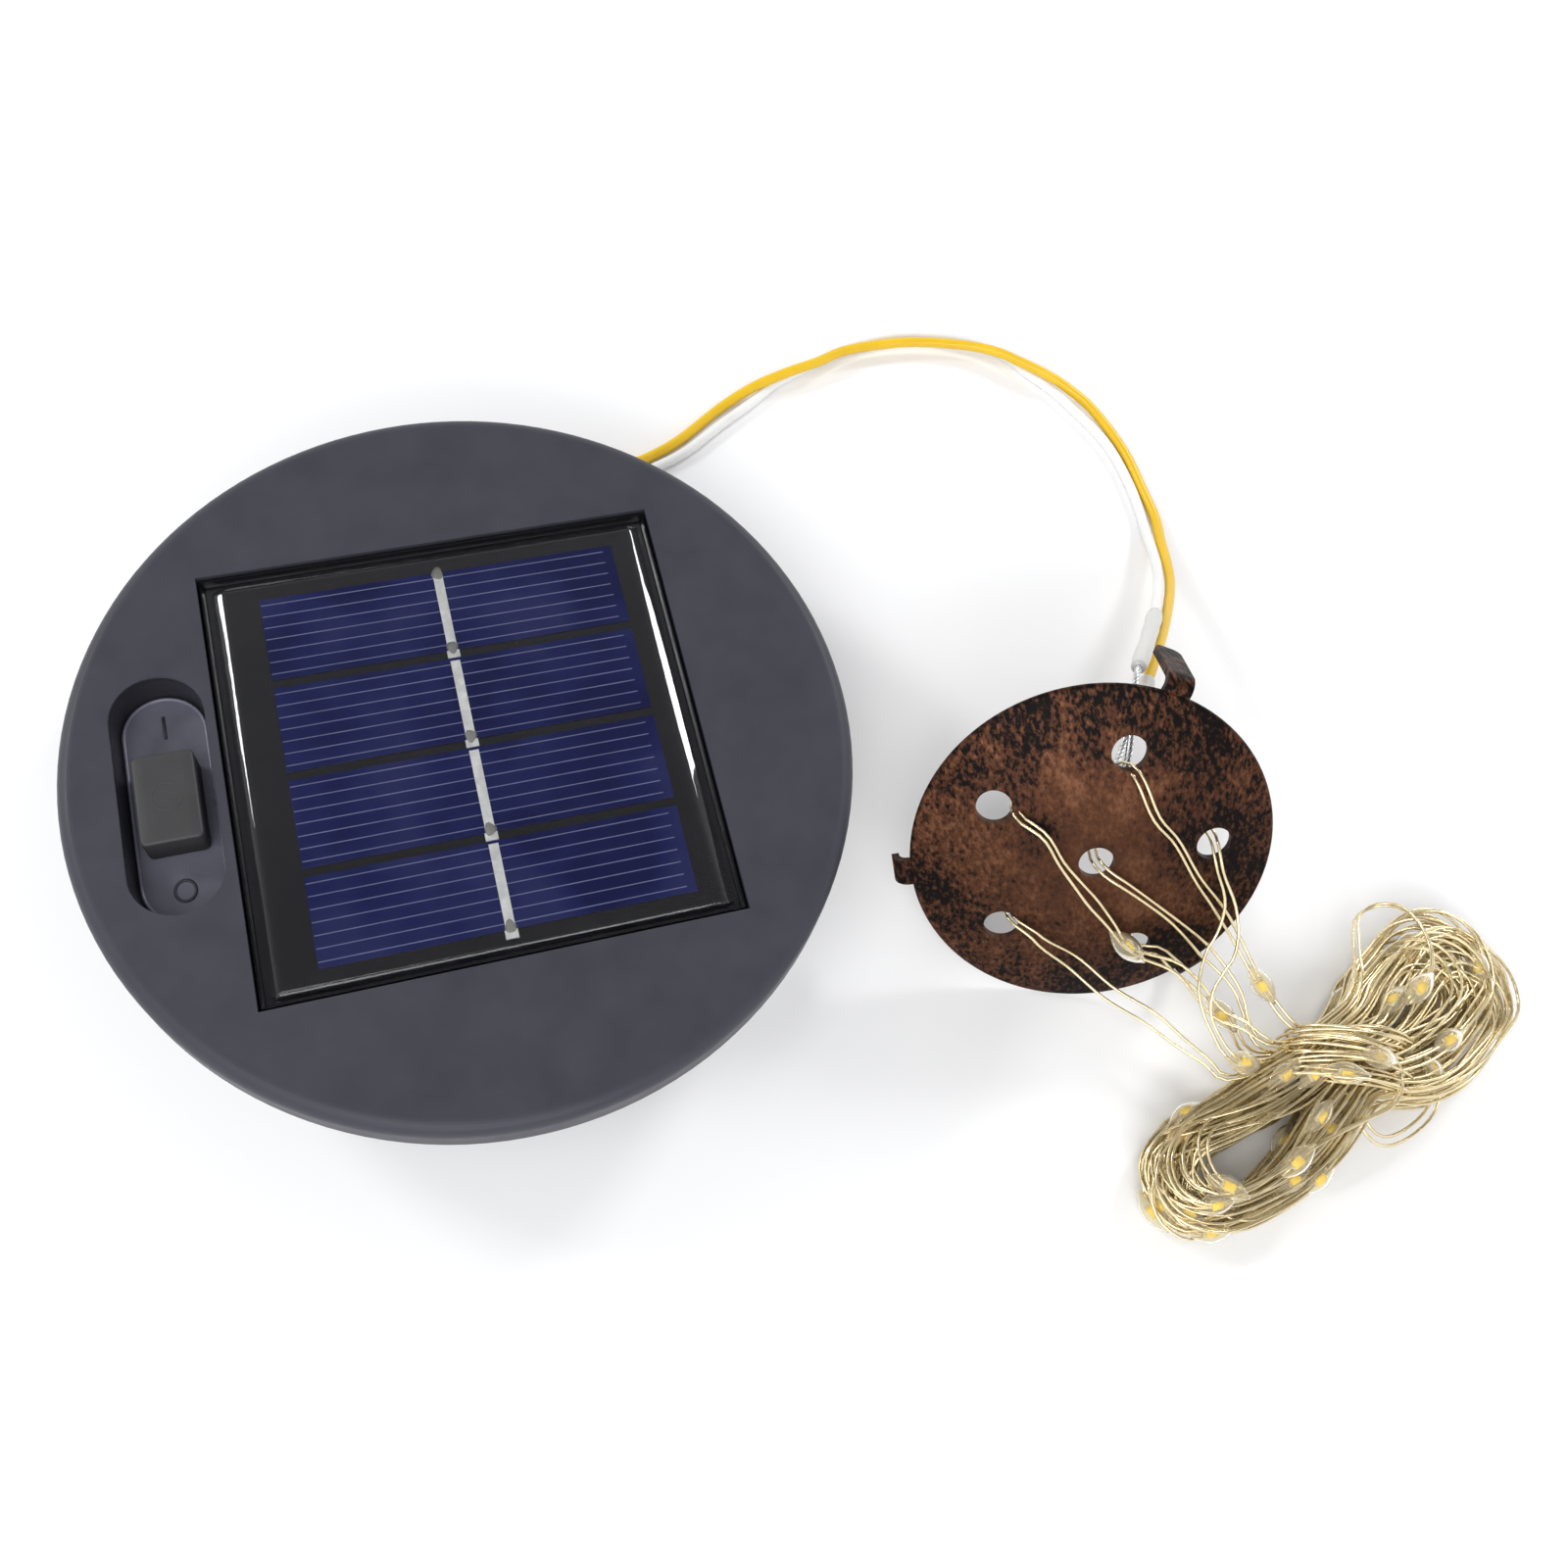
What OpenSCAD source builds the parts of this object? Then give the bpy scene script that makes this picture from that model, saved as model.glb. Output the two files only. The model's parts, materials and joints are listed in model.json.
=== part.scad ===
// Solar string lights: a round solar lid with a slide switch and a battery cup below it,
// two lead wires, a domed metal plate with six holes, and six light strings in a tied hank.
// Millimetres. The origin is on the lid's axis, on the surface that the cup stands on. +Z is up,
// +X runs towards the plate and the hank, and the switch is at -X.

/* [Lid] */
// Diameter of the round lid
lid_d = 80; // [79:0.5:84]
// Height of the lid's top face above the surface it stands on
lid_top = 20; // [19.5:0.5:22]
// Thickness of the lid's top wall
lid_wall = 2.4; // [2:0.2:2.8]
// Height of the lid's rim
rim_h = 4.6; // [4:0.2:5]
// Width of the square panel pocket along X
pocket_w = 47.9; // [46:0.1:48]
// Width of the square panel pocket along Y
pocket_l = 47.5; // [46:0.1:48]
// Depth of the panel pocket
pocket_depth = 2.6; // [2.4:0.1:2.8]

/* [Solar panel] */
// Length of one cell strip
cell_l = 37.5; // [34:0.5:40]
// Width of one cell strip
cell_w = 9.5; // [8.5:0.1:9.8]
// Gap between two cell strips
cell_gap = 1; // [0.6:0.1:1.2]
// Width of the silver ribbon across the cells
ribbon_w = 1; // [0.8:0.1:2]

/* [Switch] */
// Length of the switch recess
recess_l = 25.7; // [24:0.1:27]
// Width of the switch recess
recess_w = 9.3; // [9:0.1:9.8]
// Depth of the switch recess
recess_depth = 4; // [3.6:0.1:4]
// Length of the sliding knob
knob_l = 9.6; // [7:0.2:10]
// Width of the sliding knob
knob_w = 6; // [4.5:0.1:6.5]
// Travel of the knob to each side of its middle place
knob_travel = 2; // [1.5:0.1:2]

/* [Battery cup] */
// Outer diameter of the battery cup, which drops into a lantern or a can
cup_d = 74; // [73.6:0.1:74.4]
// Wall thickness of the battery cup
cup_wall = 1.6; // [1.4:0.1:1.7]
// Diameter of the battery
battery_d = 10.3; // [10:0.1:10.5]
// Length of the battery with its button
battery_l = 44.5; // [43.5:0.1:44.5]

/* [Rose plate] */
// Diameter of the domed plate
plate_d = 39; // [38:0.5:40]
// Height of the dome above its own rim
dome_h = 3.1; // [2.5:0.1:3.5]
// Thickness of the plate
plate_t = 0.9; // [0.8:0.1:1]
// Diameter of the holes
hole_d = 3.8; // [3.4:0.1:4]
// Radius of the ring of five holes
hole_ring_r = 12.7; // [12:0.1:13]
// Width of the bent tabs
tab_w = 3; // [2.4:0.1:3.4]

/* [Wires] */
// Diameter of the insulated lead wires
lead_d = 1.3; // [1:0.1:1.4]
// Diameter of the tube that holds one light string's pair of wires
string_d = 1; // [0.8:0.1:1]

/* [Hidden] */
$fn = 96;

// Heights in the lid
lid_under = lid_top - lid_wall;
pocket_floor = lid_top - pocket_depth;
tray_floor_t = 1.6;
recess_floor = lid_top - recess_depth;
recess_floor_t = 1.4;
ring_bottom = recess_floor - recess_floor_t - 0.2;
rim_round = 1.5;
rim_t = 1.6;
side_wall = 1.1;
recess_x = -29.6;
recess_y = 0.4;
pocket_x = -0.1;
pocket_y = 0.2;

// Panel layers, from the pocket's floor up
cell_count = 4;
fit_gap = 0.2;
board_t = 1.2;
cell_t = 0.3;
ribbon_t = 0.12;
board_top = pocket_floor + board_t;
cell_top = board_top + cell_t;
resin_top = lid_top - 0.9;
cells_x = 0.6;
ribbon_x = 0.4;
cell_pitch = cell_w + cell_gap;

// Where the panel's two leads pass through the tray's floor
panel_lead_places = [[-10.4, -20], [-13.6, -20]];
panel_lead_d = 0.9;

// Switch below the recess
stem_w = 2;
stem_l = 3;
stem_slot_w = 2.6;
stem_slot_l = stem_l + 2 * knob_travel + 0.6;
knob_gap = 0.3;
switch_w = 4.6;
switch_l = 10;
switch_bottom = ring_bottom - 4.4;

// Cup and its screws
cup_r = cup_d / 2;
gasket_t = 0.8;
cup_top = ring_bottom - gasket_t;
cup_inner_r = cup_r - cup_wall;
cup_floor = 1.6;
screw_ring_r = 32;
screw_angles = [35, 125, 235, 325];
boss_r = 2.8;
screw_r = 1.1;
screw_clearance = 0.3;
screw_head_r = 2.1;
screw_head_h = 1.6;
screw_head_z = 0.5;
screw_tip = lid_under - 0.3;
thread_top = lid_under + 0.6;
pilot_r = 0.8;

// Battery bay
bay_x = 9;
bay_w = 12.4;
bay_l = 50;
bay_wall = 1.2;
bay_wall_h = 6.4;
battery_z = 7.4;
battery_start = -20.1;
button_d = 3.8;
contact_t = 0.4;
contact_w = 8;
contact_h = 8.5;
contact_tab = [1.4, 2];
contact_tab_x = -3;
contact_bottom = cup_floor + 0.6;
contact_top = contact_bottom + contact_h;
door_w = 11;
door_l = 44;
door_plate = [15, 54.2, 0.8];
door_plate_y = -3.5;
door_play = 0.3;
door_screw_y = -28.2;
door_screw_top = 4.2;
door_post_r = 2.2;
door_post_h = 4;
button_l = 0.8;

// Circuit board
pcb_x = -13.5;
pcb_w = 21;
pcb_l = 30;
pcb_bottom = 5.2;
pcb_t = 1.6;
pcb_top = pcb_bottom + pcb_t;
post_y = 12.5;
post_r = 2;

// Where the lead wires leave the cup
exit_angle = 62;
exit_z = 5;
exit_spread = 0.9;
grommet_r = 2.6;

// Where the rose plate leans: the middle of its rim, its tilt and its heading
plate_pos = [62.3, -23.7, 16.05];
plate_tilt = 52.5;
plate_heading = -109;
plate_r = plate_d / 2;
first_hole = 33;
first_tab = 47;
dome_r = (plate_r * plate_r + dome_h * dome_h) / (2 * dome_h);

// Where the two leads pass through the grommet: a point at radius r, to one side of its middle
function exit_point(r, side) = [
    r * cos(exit_angle) + side * exit_spread * sin(exit_angle),
    r * sin(exit_angle) - side * exit_spread * cos(exit_angle), exit_z];
function exit_points(side) = [exit_point(cup_inner_r - 1, side), exit_point(cup_r + 2.4, side)];

// The yellow lead: out of the cup, down, round on the standing surface, and up to the plate.
// It lies on the white lead where the two run together.
yellow_route = concat(exit_points(-1), [
    [20.5, 39, 3.6], [24.5, 41.6, 1.5], [29, 43, 0.7], [34, 45, 0.7], [40.5, 49, 0.7],
    [45.5, 51, 1.5], [50, 52, 2.1], [54.5, 53, 2.1], [59.5, 54.5, 1.8], [67.5, 54.5, 1.7],
    [74.5, 53, 1.7], [79, 51, 1.9], [82, 48.5, 2.1], [85, 46, 2], [87.5, 44, 1.2],
    [90, 40.5, 0.7], [92, 33.5, 0.7], [92.5, 27, 0.7], [92.5, 22.5, 1], [91.5, 19, 2],
    [88.6, 11.2, 5.6], [83, 3.5, 11.5], [77, -3.5, 17], [74, -7, 19]]);
// The white lead passes under the yellow one twice
white_route = concat(exit_points(1), [
    [21.8, 37.8, 3.4], [25.6, 40, 1.4], [30, 41.5, 0.7], [34.5, 43.2, 0.7], [40, 46.5, 0.7],
    [44.5, 49, 0.7], [48.5, 51.5, 0.7], [53.5, 53.5, 0.7], [57.5, 55, 0.7], [62, 56, 0.7],
    [66.5, 56.5, 0.7], [72.5, 55.5, 0.7], [78, 53, 0.7], [81, 50.5, 0.7], [83, 47.5, 0.7],
    [85, 45, 0.7], [87, 41.5, 0.7], [90, 35, 0.7], [91, 28, 0.7], [90.5, 21, 1.2],
    [87.5, 12.5, 5.5], [81, 3.5, 13]]);
// A sleeve follows on from each lead, and a bare twisted tail from each sleeve
yellow_sleeve_route = [[74, -7, 19], [71.5, -10, 20], [69, -13, 20.6]];
white_sleeve_route = [[81, 3.5, 13], [76.5, -1.5, 18], [72, -6.5, 22]];
yellow_tail_route = [[69, -13, 20.6], [67, -15.6, 20.8], [64.6, -18.4, 21.2]];
white_tail_route = [[72, -6.5, 22], [70.5, -8.5, 23.5], [68.5, -12.5, 24], [66.8, -16.5, 23.2],
    [65.6, -18.6, 22.4]];

module placed_on_plate() {
    translate(plate_pos) rotate([0, 0, plate_heading]) rotate([0, plate_tilt, 0]) children();
}

// A point given in the plate's own axes, in the axes of the whole part
function on_plate(p) = plate_pos + [
    cos(plate_heading) * (cos(plate_tilt) * p.x + sin(plate_tilt) * p.z)
        - sin(plate_heading) * p.y,
    sin(plate_heading) * (cos(plate_tilt) * p.x + sin(plate_tilt) * p.z)
        + cos(plate_heading) * p.y,
    cos(plate_tilt) * p.z - sin(plate_tilt) * p.x];

// The six light strings: points behind the plate in its own axes, then points in the part's axes
string_starts = [
    [[-4.8, 1.8, 0], [2, 6, -0.6], [8.6, 6.4, -0.8], [10.6, 6.6, 0.8], [10.7, 7.9, 2.6]],
    [[-5.8, 2.4, 0], [-5, 7.6, -0.6], [-4.2, 11.2, -0.8], [-3.6, 12.3, 0.8], [-2, 12.8, 2.8]],
    [[-8.8, 0, -0.3], [-10.6, 0.2, -1.8], [-12.4, 0.3, -1.9], [-13.4, 0.4, -0.2],
        [-13.1, 0.7, 1.6], [-11.8, 1.4, 2.9]],
    [[-6, -2.4, 0], [-5.6, -7.4, -1], [-4.6, -11.4, -1], [-4.4, -12.5, 0.8], [-4.8, -11.7, 2.6]],
    [[-4.8, -1.8, 0], [2, -5, -0.6], [8, -7.4, -1], [10.2, -8.3, 0.6], [9.4, -8, 2.6]],
    [[-4.2, 0.1, 0.2], [-1.6, -0.2, -0.2], [-0.2, -0.2, 1.6], [0.2, 0.3, 3.2], [0.8, 1.4, 4]]];
string_ends = [
    [[68.5, -34.5, 9.5], [70.5, -36.5, 8], [73, -39, 6.5], [74.5, -42, 6], [76, -44.5, 5],
        [77.5, -47.5, 3.5]],
    [[74.5, -30, 18], [75.5, -33, 15.5], [75, -36, 13], [73, -38.5, 11.5], [71.5, -41, 10.5],
        [72, -44.5, 8.5], [75, -48.5, 7]],
    [[67, -24, 23.5], [69.5, -26.5, 21], [72, -30, 17.5], [74.5, -32.5, 14.5],
        [76.5, -35.5, 12], [79, -41, 9], [82.5, -46.5, 7]],
    [[55.5, -22.5, 21], [57.5, -25.5, 18.5], [59.5, -28, 16.5], [62.5, -31.5, 13.5],
        [65, -34.5, 11], [70, -37.5, 10], [73.5, -42.5, 7.5], [76, -44.5, 7.5], [79.5, -47.5, 7]],
    [[53, -28, 12], [56, -31, 9.5], [59.5, -33.5, 7.5], [63, -37.5, 6], [67, -41, 5],
        [69.5, -44.5, 5], [72, -47.5, 5], [74, -49.5, 5]],
    [[63.5, -28.5, 17.5], [66.5, -30.5, 15.5], [70, -33, 13], [73.5, -36, 10], [76.5, -40.5, 8],
        [78.5, -47, 5.5]]];
function string_route(i) = concat([for (p = string_starts[i]) on_plate(p)], string_ends[i]);

// The hank: two lobes and a waist, seen from above
hank_h = 9;
left_lobe = [68, -58.3];
left_lobe_r = 8;
right_lobe = [101, -45.5];
right_lobe_r = 11.5;
waist = [85.5, -51];

// A tube swept along a smooth curve through the given points
tube_sides = 8;
function curve_point(a, b, c, d, t) = 0.5 * (2 * b + (c - a) * t
    + (2 * a - 5 * b + 4 * c - d) * t * t + (3 * b - a - 3 * c + d) * t * t * t);
function smooth(p, steps) = concat([for (i = [0:len(p) - 2], k = [0:steps - 1])
    curve_point(p[max(i - 1, 0)], p[i], p[i + 1], p[min(i + 2, len(p) - 1)], k / steps)],
    [p[len(p) - 1]]);
function unit(v) = v / norm(v);
function flat_to(v, axis) = unit(v - axis * (v * axis));
function heading(p, i) = unit(p[min(i + 1, len(p) - 1)] - p[max(i - 1, 0)]);
function any_normal(t) = flat_to(abs(t.z) < 0.8 ? [0, 0, 1] : [1, 0, 0], t);
function normals(p) = [for (i = 0, n = any_normal(heading(p, 0)); i < len(p); i = i + 1,
    n = i < len(p) ? flat_to(n, heading(p, i)) : n) n];

module tube(points, d, steps = 1) {
    p = smooth(points, steps);
    n = normals(p);
    rings = [for (i = [0:len(p) - 1], s = [0:tube_sides - 1])
        let (a = 360 * s / tube_sides, t = heading(p, i))
        p[i] + d / 2 * (cos(a) * n[i] + sin(a) * cross(t, n[i]))];
    walls = [for (i = [0:len(p) - 2], s = [0:tube_sides - 1], half = [0, 1])
        let (a = i * tube_sides + s, b = i * tube_sides + (s + 1) % tube_sides)
        half == 0 ? [a, a + tube_sides, b] : [b, a + tube_sides, b + tube_sides]];
    first_end = [for (s = [0:tube_sides - 1]) s];
    last_end = [for (s = [tube_sides - 1:-1:0]) (len(p) - 1) * tube_sides + s];
    polyhedron(rings, concat(walls, [first_end, last_end]));
}

module stadium(l, w, h) {
    hull_l = l - w;
    translate([-w / 2, -hull_l / 2, 0]) cube([w, hull_l, h]);
    for (s = [-1, 1]) translate([0, s * hull_l / 2, 0]) cylinder(d = w, h = h);
}

module centred_box(size) {
    translate([-size.x / 2, -size.y / 2, 0]) cube(size);
}

module rounded_box(size, r) {
    centred_box([size.x - 2 * r, size.y, size.z]);
    centred_box([size.x, size.y - 2 * r, size.z]);
    for (sx = [-1, 1], sy = [-1, 1])
        translate([sx * (size.x / 2 - r), sy * (size.y / 2 - r), 0]) cylinder(r = r, h = size.z);
}

module at_screws() {
    for (a = screw_angles) rotate([0, 0, a]) translate([screw_ring_r, 0, 0]) children();
}

// The lid: a disc with a rounded rim, the panel's tray and the switch's recess
module lid_profile() {
    r = lid_d / 2;
    polygon(concat(
        [[0, lid_under], [0, lid_top]],
        [for (a = [90:-10:0]) [r - rim_round + rim_round * cos(a),
            lid_top - rim_round + rim_round * sin(a)]],
        [[r, lid_top - rim_h], [r - rim_t, lid_top - rim_h], [r - rim_t, lid_under]]));
}

module lid_shell() {
    tray_corner_r = 1.5;
    boss_bottom = cup_top + 0.1;
    color([0.17, 0.18, 0.22]) difference() {
        union() {
            rotate_extrude() lid_profile();
            difference() {
                translate([0, 0, ring_bottom]) cylinder(r = cup_r, h = lid_under - ring_bottom + 0.5);
                translate([0, 0, ring_bottom - 1])
                    cylinder(r = cup_inner_r, h = lid_under - ring_bottom + 1);
            }
            translate([pocket_x, pocket_y, pocket_floor - tray_floor_t])
                rounded_box([pocket_w + 2 * side_wall, pocket_l + 2 * side_wall,
                    tray_floor_t + 1], tray_corner_r);
            translate([recess_x, recess_y, recess_floor - recess_floor_t])
                stadium(recess_l + 2 * side_wall, recess_w + 2 * side_wall, recess_depth);
            at_screws() translate([0, 0, boss_bottom])
                cylinder(r = boss_r, h = lid_under - boss_bottom + 0.5);
        }
        translate([pocket_x, pocket_y, pocket_floor])
            centred_box([pocket_w, pocket_l, pocket_depth + 1]);
        translate([recess_x, recess_y, recess_floor]) stadium(recess_l, recess_w, recess_depth + 1);
        translate([recess_x, 0, recess_floor - recess_floor_t - 1])
            centred_box([stem_slot_w, stem_slot_l, recess_floor_t + 2]);
        at_screws() translate([0, 0, boss_bottom - 1])
            cylinder(r = screw_r, h = thread_top - boss_bottom + 1);
        for (p = panel_lead_places) translate([p.x, p.y, pocket_floor - tray_floor_t - 1])
            cylinder(r = pilot_r, h = tray_floor_t + 2);
    }
}

module panel_board() {
    color([0.02, 0.02, 0.025]) translate([pocket_x, pocket_y, pocket_floor])
        centred_box([pocket_w - 2 * fit_gap, pocket_l - 2 * fit_gap, board_t]);
}

function cell_y(i) = pocket_y + ((cell_count - 1) / 2 - i) * cell_pitch;

module solar_cell(i) {
    color([0.07, 0.08, 0.26]) translate([cells_x, cell_y(i), board_top])
        centred_box([cell_l, cell_w, cell_t]);
}

// One ribbon down each cell, with a wider soldered foot in each gap below it
module cell_ribbons() {
    foot_l = cell_gap * 0.9;
    color([0.82, 0.82, 0.78]) for (i = [0:cell_count - 1]) {
        translate([ribbon_x, cell_y(i), cell_top]) centred_box([ribbon_w, cell_w - 0.6, ribbon_t]);
        translate([ribbon_x, cell_y(i) - cell_pitch / 2, board_top])
            centred_box([ribbon_w * 1.3, foot_l, cell_t + ribbon_t]);
    }
}

module panel_resin() {
    color([0.1, 0.1, 0.14, 0.4]) difference() {
        translate([pocket_x, pocket_y, board_top])
            centred_box([pocket_w - 2 * fit_gap, pocket_l - 2 * fit_gap, resin_top - board_top]);
        for (i = [0:cell_count - 1]) solar_cell(i);
        cell_ribbons();
    }
}

// The knob that a finger pushes, with its stem down into the switch
module switch_knob() {
    cap_bottom = recess_floor + knob_gap;
    stem_h = 2.6;
    color([0.05, 0.05, 0.055]) translate([recess_x, 0, 0]) {
        translate([0, 0, cap_bottom]) rounded_box([knob_w, knob_l, lid_top - cap_bottom], 0.8);
        translate([0, 0, cap_bottom - stem_h]) centred_box([stem_w, stem_l, stem_h + 0.5]);
    }
}

module switch_body() {
    slot_h = 2;
    top = recess_floor - recess_floor_t;
    color([0.6, 0.6, 0.62]) translate([recess_x, 0, 0]) difference() {
        translate([0, 0, switch_bottom]) centred_box([switch_w, switch_l, top - switch_bottom]);
        translate([0, 0, top - slot_h]) centred_box([stem_slot_w, stem_slot_l, slot_h + 1]);
    }
}

module switch_pins() {
    pin_h = 2.2;
    color([0.8, 0.78, 0.7]) for (s = [-1:1])
        translate([recess_x, s * 2.5, switch_bottom - pin_h]) centred_box([0.5, 0.9, pin_h]);
}

module housing_gasket() {
    color([0.1, 0.1, 0.1]) translate([0, 0, cup_top]) difference() {
        cylinder(r = cup_r - 0.2, h = gasket_t);
        translate([0, 0, -1]) cylinder(r = cup_inner_r + 0.2, h = gasket_t + 2);
    }
}

// The cup with its battery bay, board posts, screw posts, door opening and wire hole
module housing_cup() {
    bay_outer_l = bay_l + 2 * bay_wall;
    color([0.16, 0.165, 0.19]) difference() {
        union() {
            difference() {
                cylinder(r = cup_r, h = cup_top);
                translate([0, 0, cup_floor]) cylinder(r = cup_inner_r, h = cup_top);
            }
            translate([bay_x, 0, cup_floor - 0.5]) difference() {
                centred_box([bay_w + 2 * bay_wall, bay_outer_l, bay_wall_h]);
                translate([0, 0, -1]) centred_box([bay_w, bay_l, bay_wall_h + 2]);
            }
            at_screws() cylinder(r = boss_r, h = cup_top - 0.1);
            for (s = [-1, 1]) translate([pcb_x, s * post_y, cup_floor - 0.5])
                cylinder(r = post_r, h = pcb_bottom - cup_floor + 0.5);
            translate([bay_x, door_screw_y, cup_floor - 0.5])
                cylinder(r = door_post_r, h = door_post_h + 0.5);
        }
        translate([bay_x, 0, -1]) centred_box([door_w, door_l, cup_floor + 1.5]);
        translate([bay_x, 0, -1]) door_outline(door_play, door_plate.z + 1.1);
        translate([bay_x, door_screw_y, 0]) cylinder(r = pilot_r, h = door_screw_top + 0.3);
        at_screws() {
            translate([0, 0, -1]) cylinder(r = screw_r + screw_clearance, h = cup_top + 2);
            translate([0, 0, -1])
                cylinder(r = screw_head_r + screw_clearance, h = screw_head_z + screw_head_h + 1);
        }
        for (s = [-1, 1]) translate([pcb_x, s * post_y, cup_floor + 0.8])
            cylinder(r = pilot_r, h = pcb_bottom);
        rotate([0, 0, exit_angle]) translate([cup_inner_r - 2, 0, exit_z]) rotate([0, 90, 0])
            cylinder(r = grommet_r, h = 6);
    }
}

// The battery door's plate, grown by a margin
module door_outline(margin, h) {
    translate([0, door_plate_y, 0])
        rounded_box([door_plate.x + 2 * margin, door_plate.y + 2 * margin, h], 2);
}

module battery_door() {
    screw_hole_r = 1;
    grip = [8, 1.2, 0.4];
    grip_y = 21;
    color([0.16, 0.165, 0.19]) translate([bay_x, 0, 0]) difference() {
        union() {
            door_outline(0, door_plate.z);
            centred_box([door_w - 2 * door_play, door_l - 2 * door_play, cup_floor]);
        }
        translate([0, door_screw_y, -1]) cylinder(r = screw_hole_r, h = 4);
        translate([0, grip_y, -1]) centred_box([grip.x, grip.y, grip.z + 1]);
    }
}

module battery_door_screw() {
    head_z = 0.1;
    head_r = 0.95;
    color([0.75, 0.75, 0.77]) translate([bay_x, door_screw_y, 0]) difference() {
        union() {
            translate([0, 0, door_plate.z]) cylinder(r = pilot_r, h = door_screw_top - door_plate.z);
            translate([0, 0, head_z]) cylinder(r = head_r, h = door_plate.z - head_z);
        }
        cross_slot(head_z, 1.2, 0.3);
    }
}

module cross_slot(z, l, w) {
    for (a = [0, 90]) rotate([0, 0, a]) translate([0, 0, z - 1]) centred_box([l, w, 1.4]);
}

module housing_screws() {
    shoulder_z = screw_head_z + screw_head_h;
    color([0.75, 0.75, 0.77]) at_screws() difference() {
        union() {
            translate([0, 0, screw_head_z]) cylinder(r = screw_head_r, h = screw_head_h);
            translate([0, 0, shoulder_z]) cylinder(r = screw_r, h = screw_tip - shoulder_z);
        }
        cross_slot(screw_head_z, 2.6, 0.6);
    }
}

module along_battery() {
    translate([bay_x, 0, battery_z]) rotate([-90, 0, 0]) children();
}

module battery() {
    body_l = battery_l - button_l;
    color([0.2, 0.5, 0.25]) along_battery() {
        translate([0, 0, battery_start]) cylinder(d = battery_d, h = body_l);
        translate([0, 0, battery_start + body_l]) cylinder(d = button_d, h = button_l);
    }
}

module battery_contact_plus() {
    battery_contact(battery_start + battery_l + contact_t / 2);
}

module battery_contact_minus() {
    battery_contact(-bay_l / 2 + contact_t / 2);
}

// A flat spring-steel plate across the bay, with a solder tab on its top edge
module battery_contact(y) {
    color([0.8, 0.8, 0.78]) translate([bay_x, y, contact_bottom]) {
        centred_box([contact_w, contact_t, contact_h]);
        translate([contact_tab_x, 0, contact_h - 0.5])
            centred_box([contact_tab.x, contact_t, contact_tab.y + 0.5]);
    }
}

// Tapered coil spring on the minus contact, squeezed by the battery
module battery_spring() {
    turns = 3;
    wire_d = 0.5;
    steps = 48;
    y0 = -bay_l / 2 + contact_t + wire_d / 2;
    y1 = battery_start - wire_d / 2;
    path = [for (i = [0:steps]) let (f = i / steps, a = 360 * turns * f, r = 3.4 - 1.2 * f)
        [bay_x + r * cos(a), y0 + (y1 - y0) * f, battery_z + r * sin(a)]];
    color([0.8, 0.8, 0.78]) tube(path, wire_d);
}

module circuit_board() {
    screw_hole_r = 1;
    color([0.1, 0.35, 0.18]) difference() {
        translate([pcb_x, 0, pcb_bottom]) centred_box([pcb_w, pcb_l, pcb_t]);
        for (s = [-1, 1]) translate([pcb_x, s * post_y, pcb_bottom - 1])
            cylinder(r = screw_hole_r, h = pcb_t + 2);
    }
}

module board_screws() {
    head_r = 1.8;
    head_h = 1.1;
    shank_l = 3.6;
    slot = [2.4, 0.5, 0.5];
    color([0.75, 0.75, 0.77]) for (s = [-1, 1])
        translate([pcb_x, s * post_y, pcb_top]) difference() {
            union() {
                cylinder(r = head_r, h = head_h);
                translate([0, 0, -shank_l]) cylinder(r = pilot_r, h = shank_l + 0.1);
            }
            for (a = [0, 90]) rotate([0, 0, a]) translate([0, 0, head_h - slot.z])
                centred_box([slot.x, slot.y, slot.z + 1]);
        }
}

// Four-legged light driver lying on the board
module driver_chip() {
    leg_pitch = 1.27;
    color([0.06, 0.06, 0.06]) translate([-9, -3, pcb_top]) {
        translate([0, 0, 0.4]) centred_box([4.6, 3.6, 1.6]);
        for (i = [0:3]) translate([(i - 1.5) * leg_pitch, -2.3, 0]) centred_box([0.45, 1.4, 1]);
    }
}

module inductor() {
    flange = [3, 0.8];
    core_r = 2.4;
    coil_h = 4.5;
    color([0.25, 0.45, 0.3]) translate([-17.5, 4, pcb_top]) {
        cylinder(r = flange[0], h = flange[1]);
        cylinder(r = core_r, h = coil_h);
        translate([0, 0, coil_h - flange[1]]) cylinder(r = flange[0], h = flange[1]);
    }
}

module capacitor() {
    color([0.1, 0.12, 0.3]) translate([-17.5, -5, pcb_top]) cylinder(r = 2, h = 5);
}

module inner_wire(points, d, c) {
    color(c) tube(points, d, 3);
}

// Straight down from the panel board's back, through the tray
function panel_lead_start(i) = [for (z = [pocket_floor, 14.4])
    [panel_lead_places[i].x, panel_lead_places[i].y, z]];

module panel_lead_red() {
    inner_wire(concat(panel_lead_start(0), [[-9.5, -17, 12], [-8, -13, 9.5], [-7.6, -12, pcb_top]]),
        panel_lead_d, [0.75, 0.1, 0.08]);
}

module panel_lead_black() {
    inner_wire(concat(panel_lead_start(1), [[-15.5, -17.4, 12], [-17.8, -14, 9.5],
        [-18.4, -12.6, pcb_top]]), panel_lead_d, [0.04, 0.04, 0.04]);
}

module battery_lead_red() {
    inner_wire([[6, 24, 11.7], [1, 21, 13.3], [-1.8, 14, 13], [-3.6, 5, 10.4],
        [-4.4, 2, pcb_top]], 1, [0.75, 0.1, 0.08]);
}

module battery_lead_black() {
    inner_wire([[6, -24.3, 11.4], [2, -22, 12.6], [-2, -16, 11.6], [-4.6, -10, 9],
        [-5, -8.5, pcb_top]], 1, [0.04, 0.04, 0.04]);
}

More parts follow.
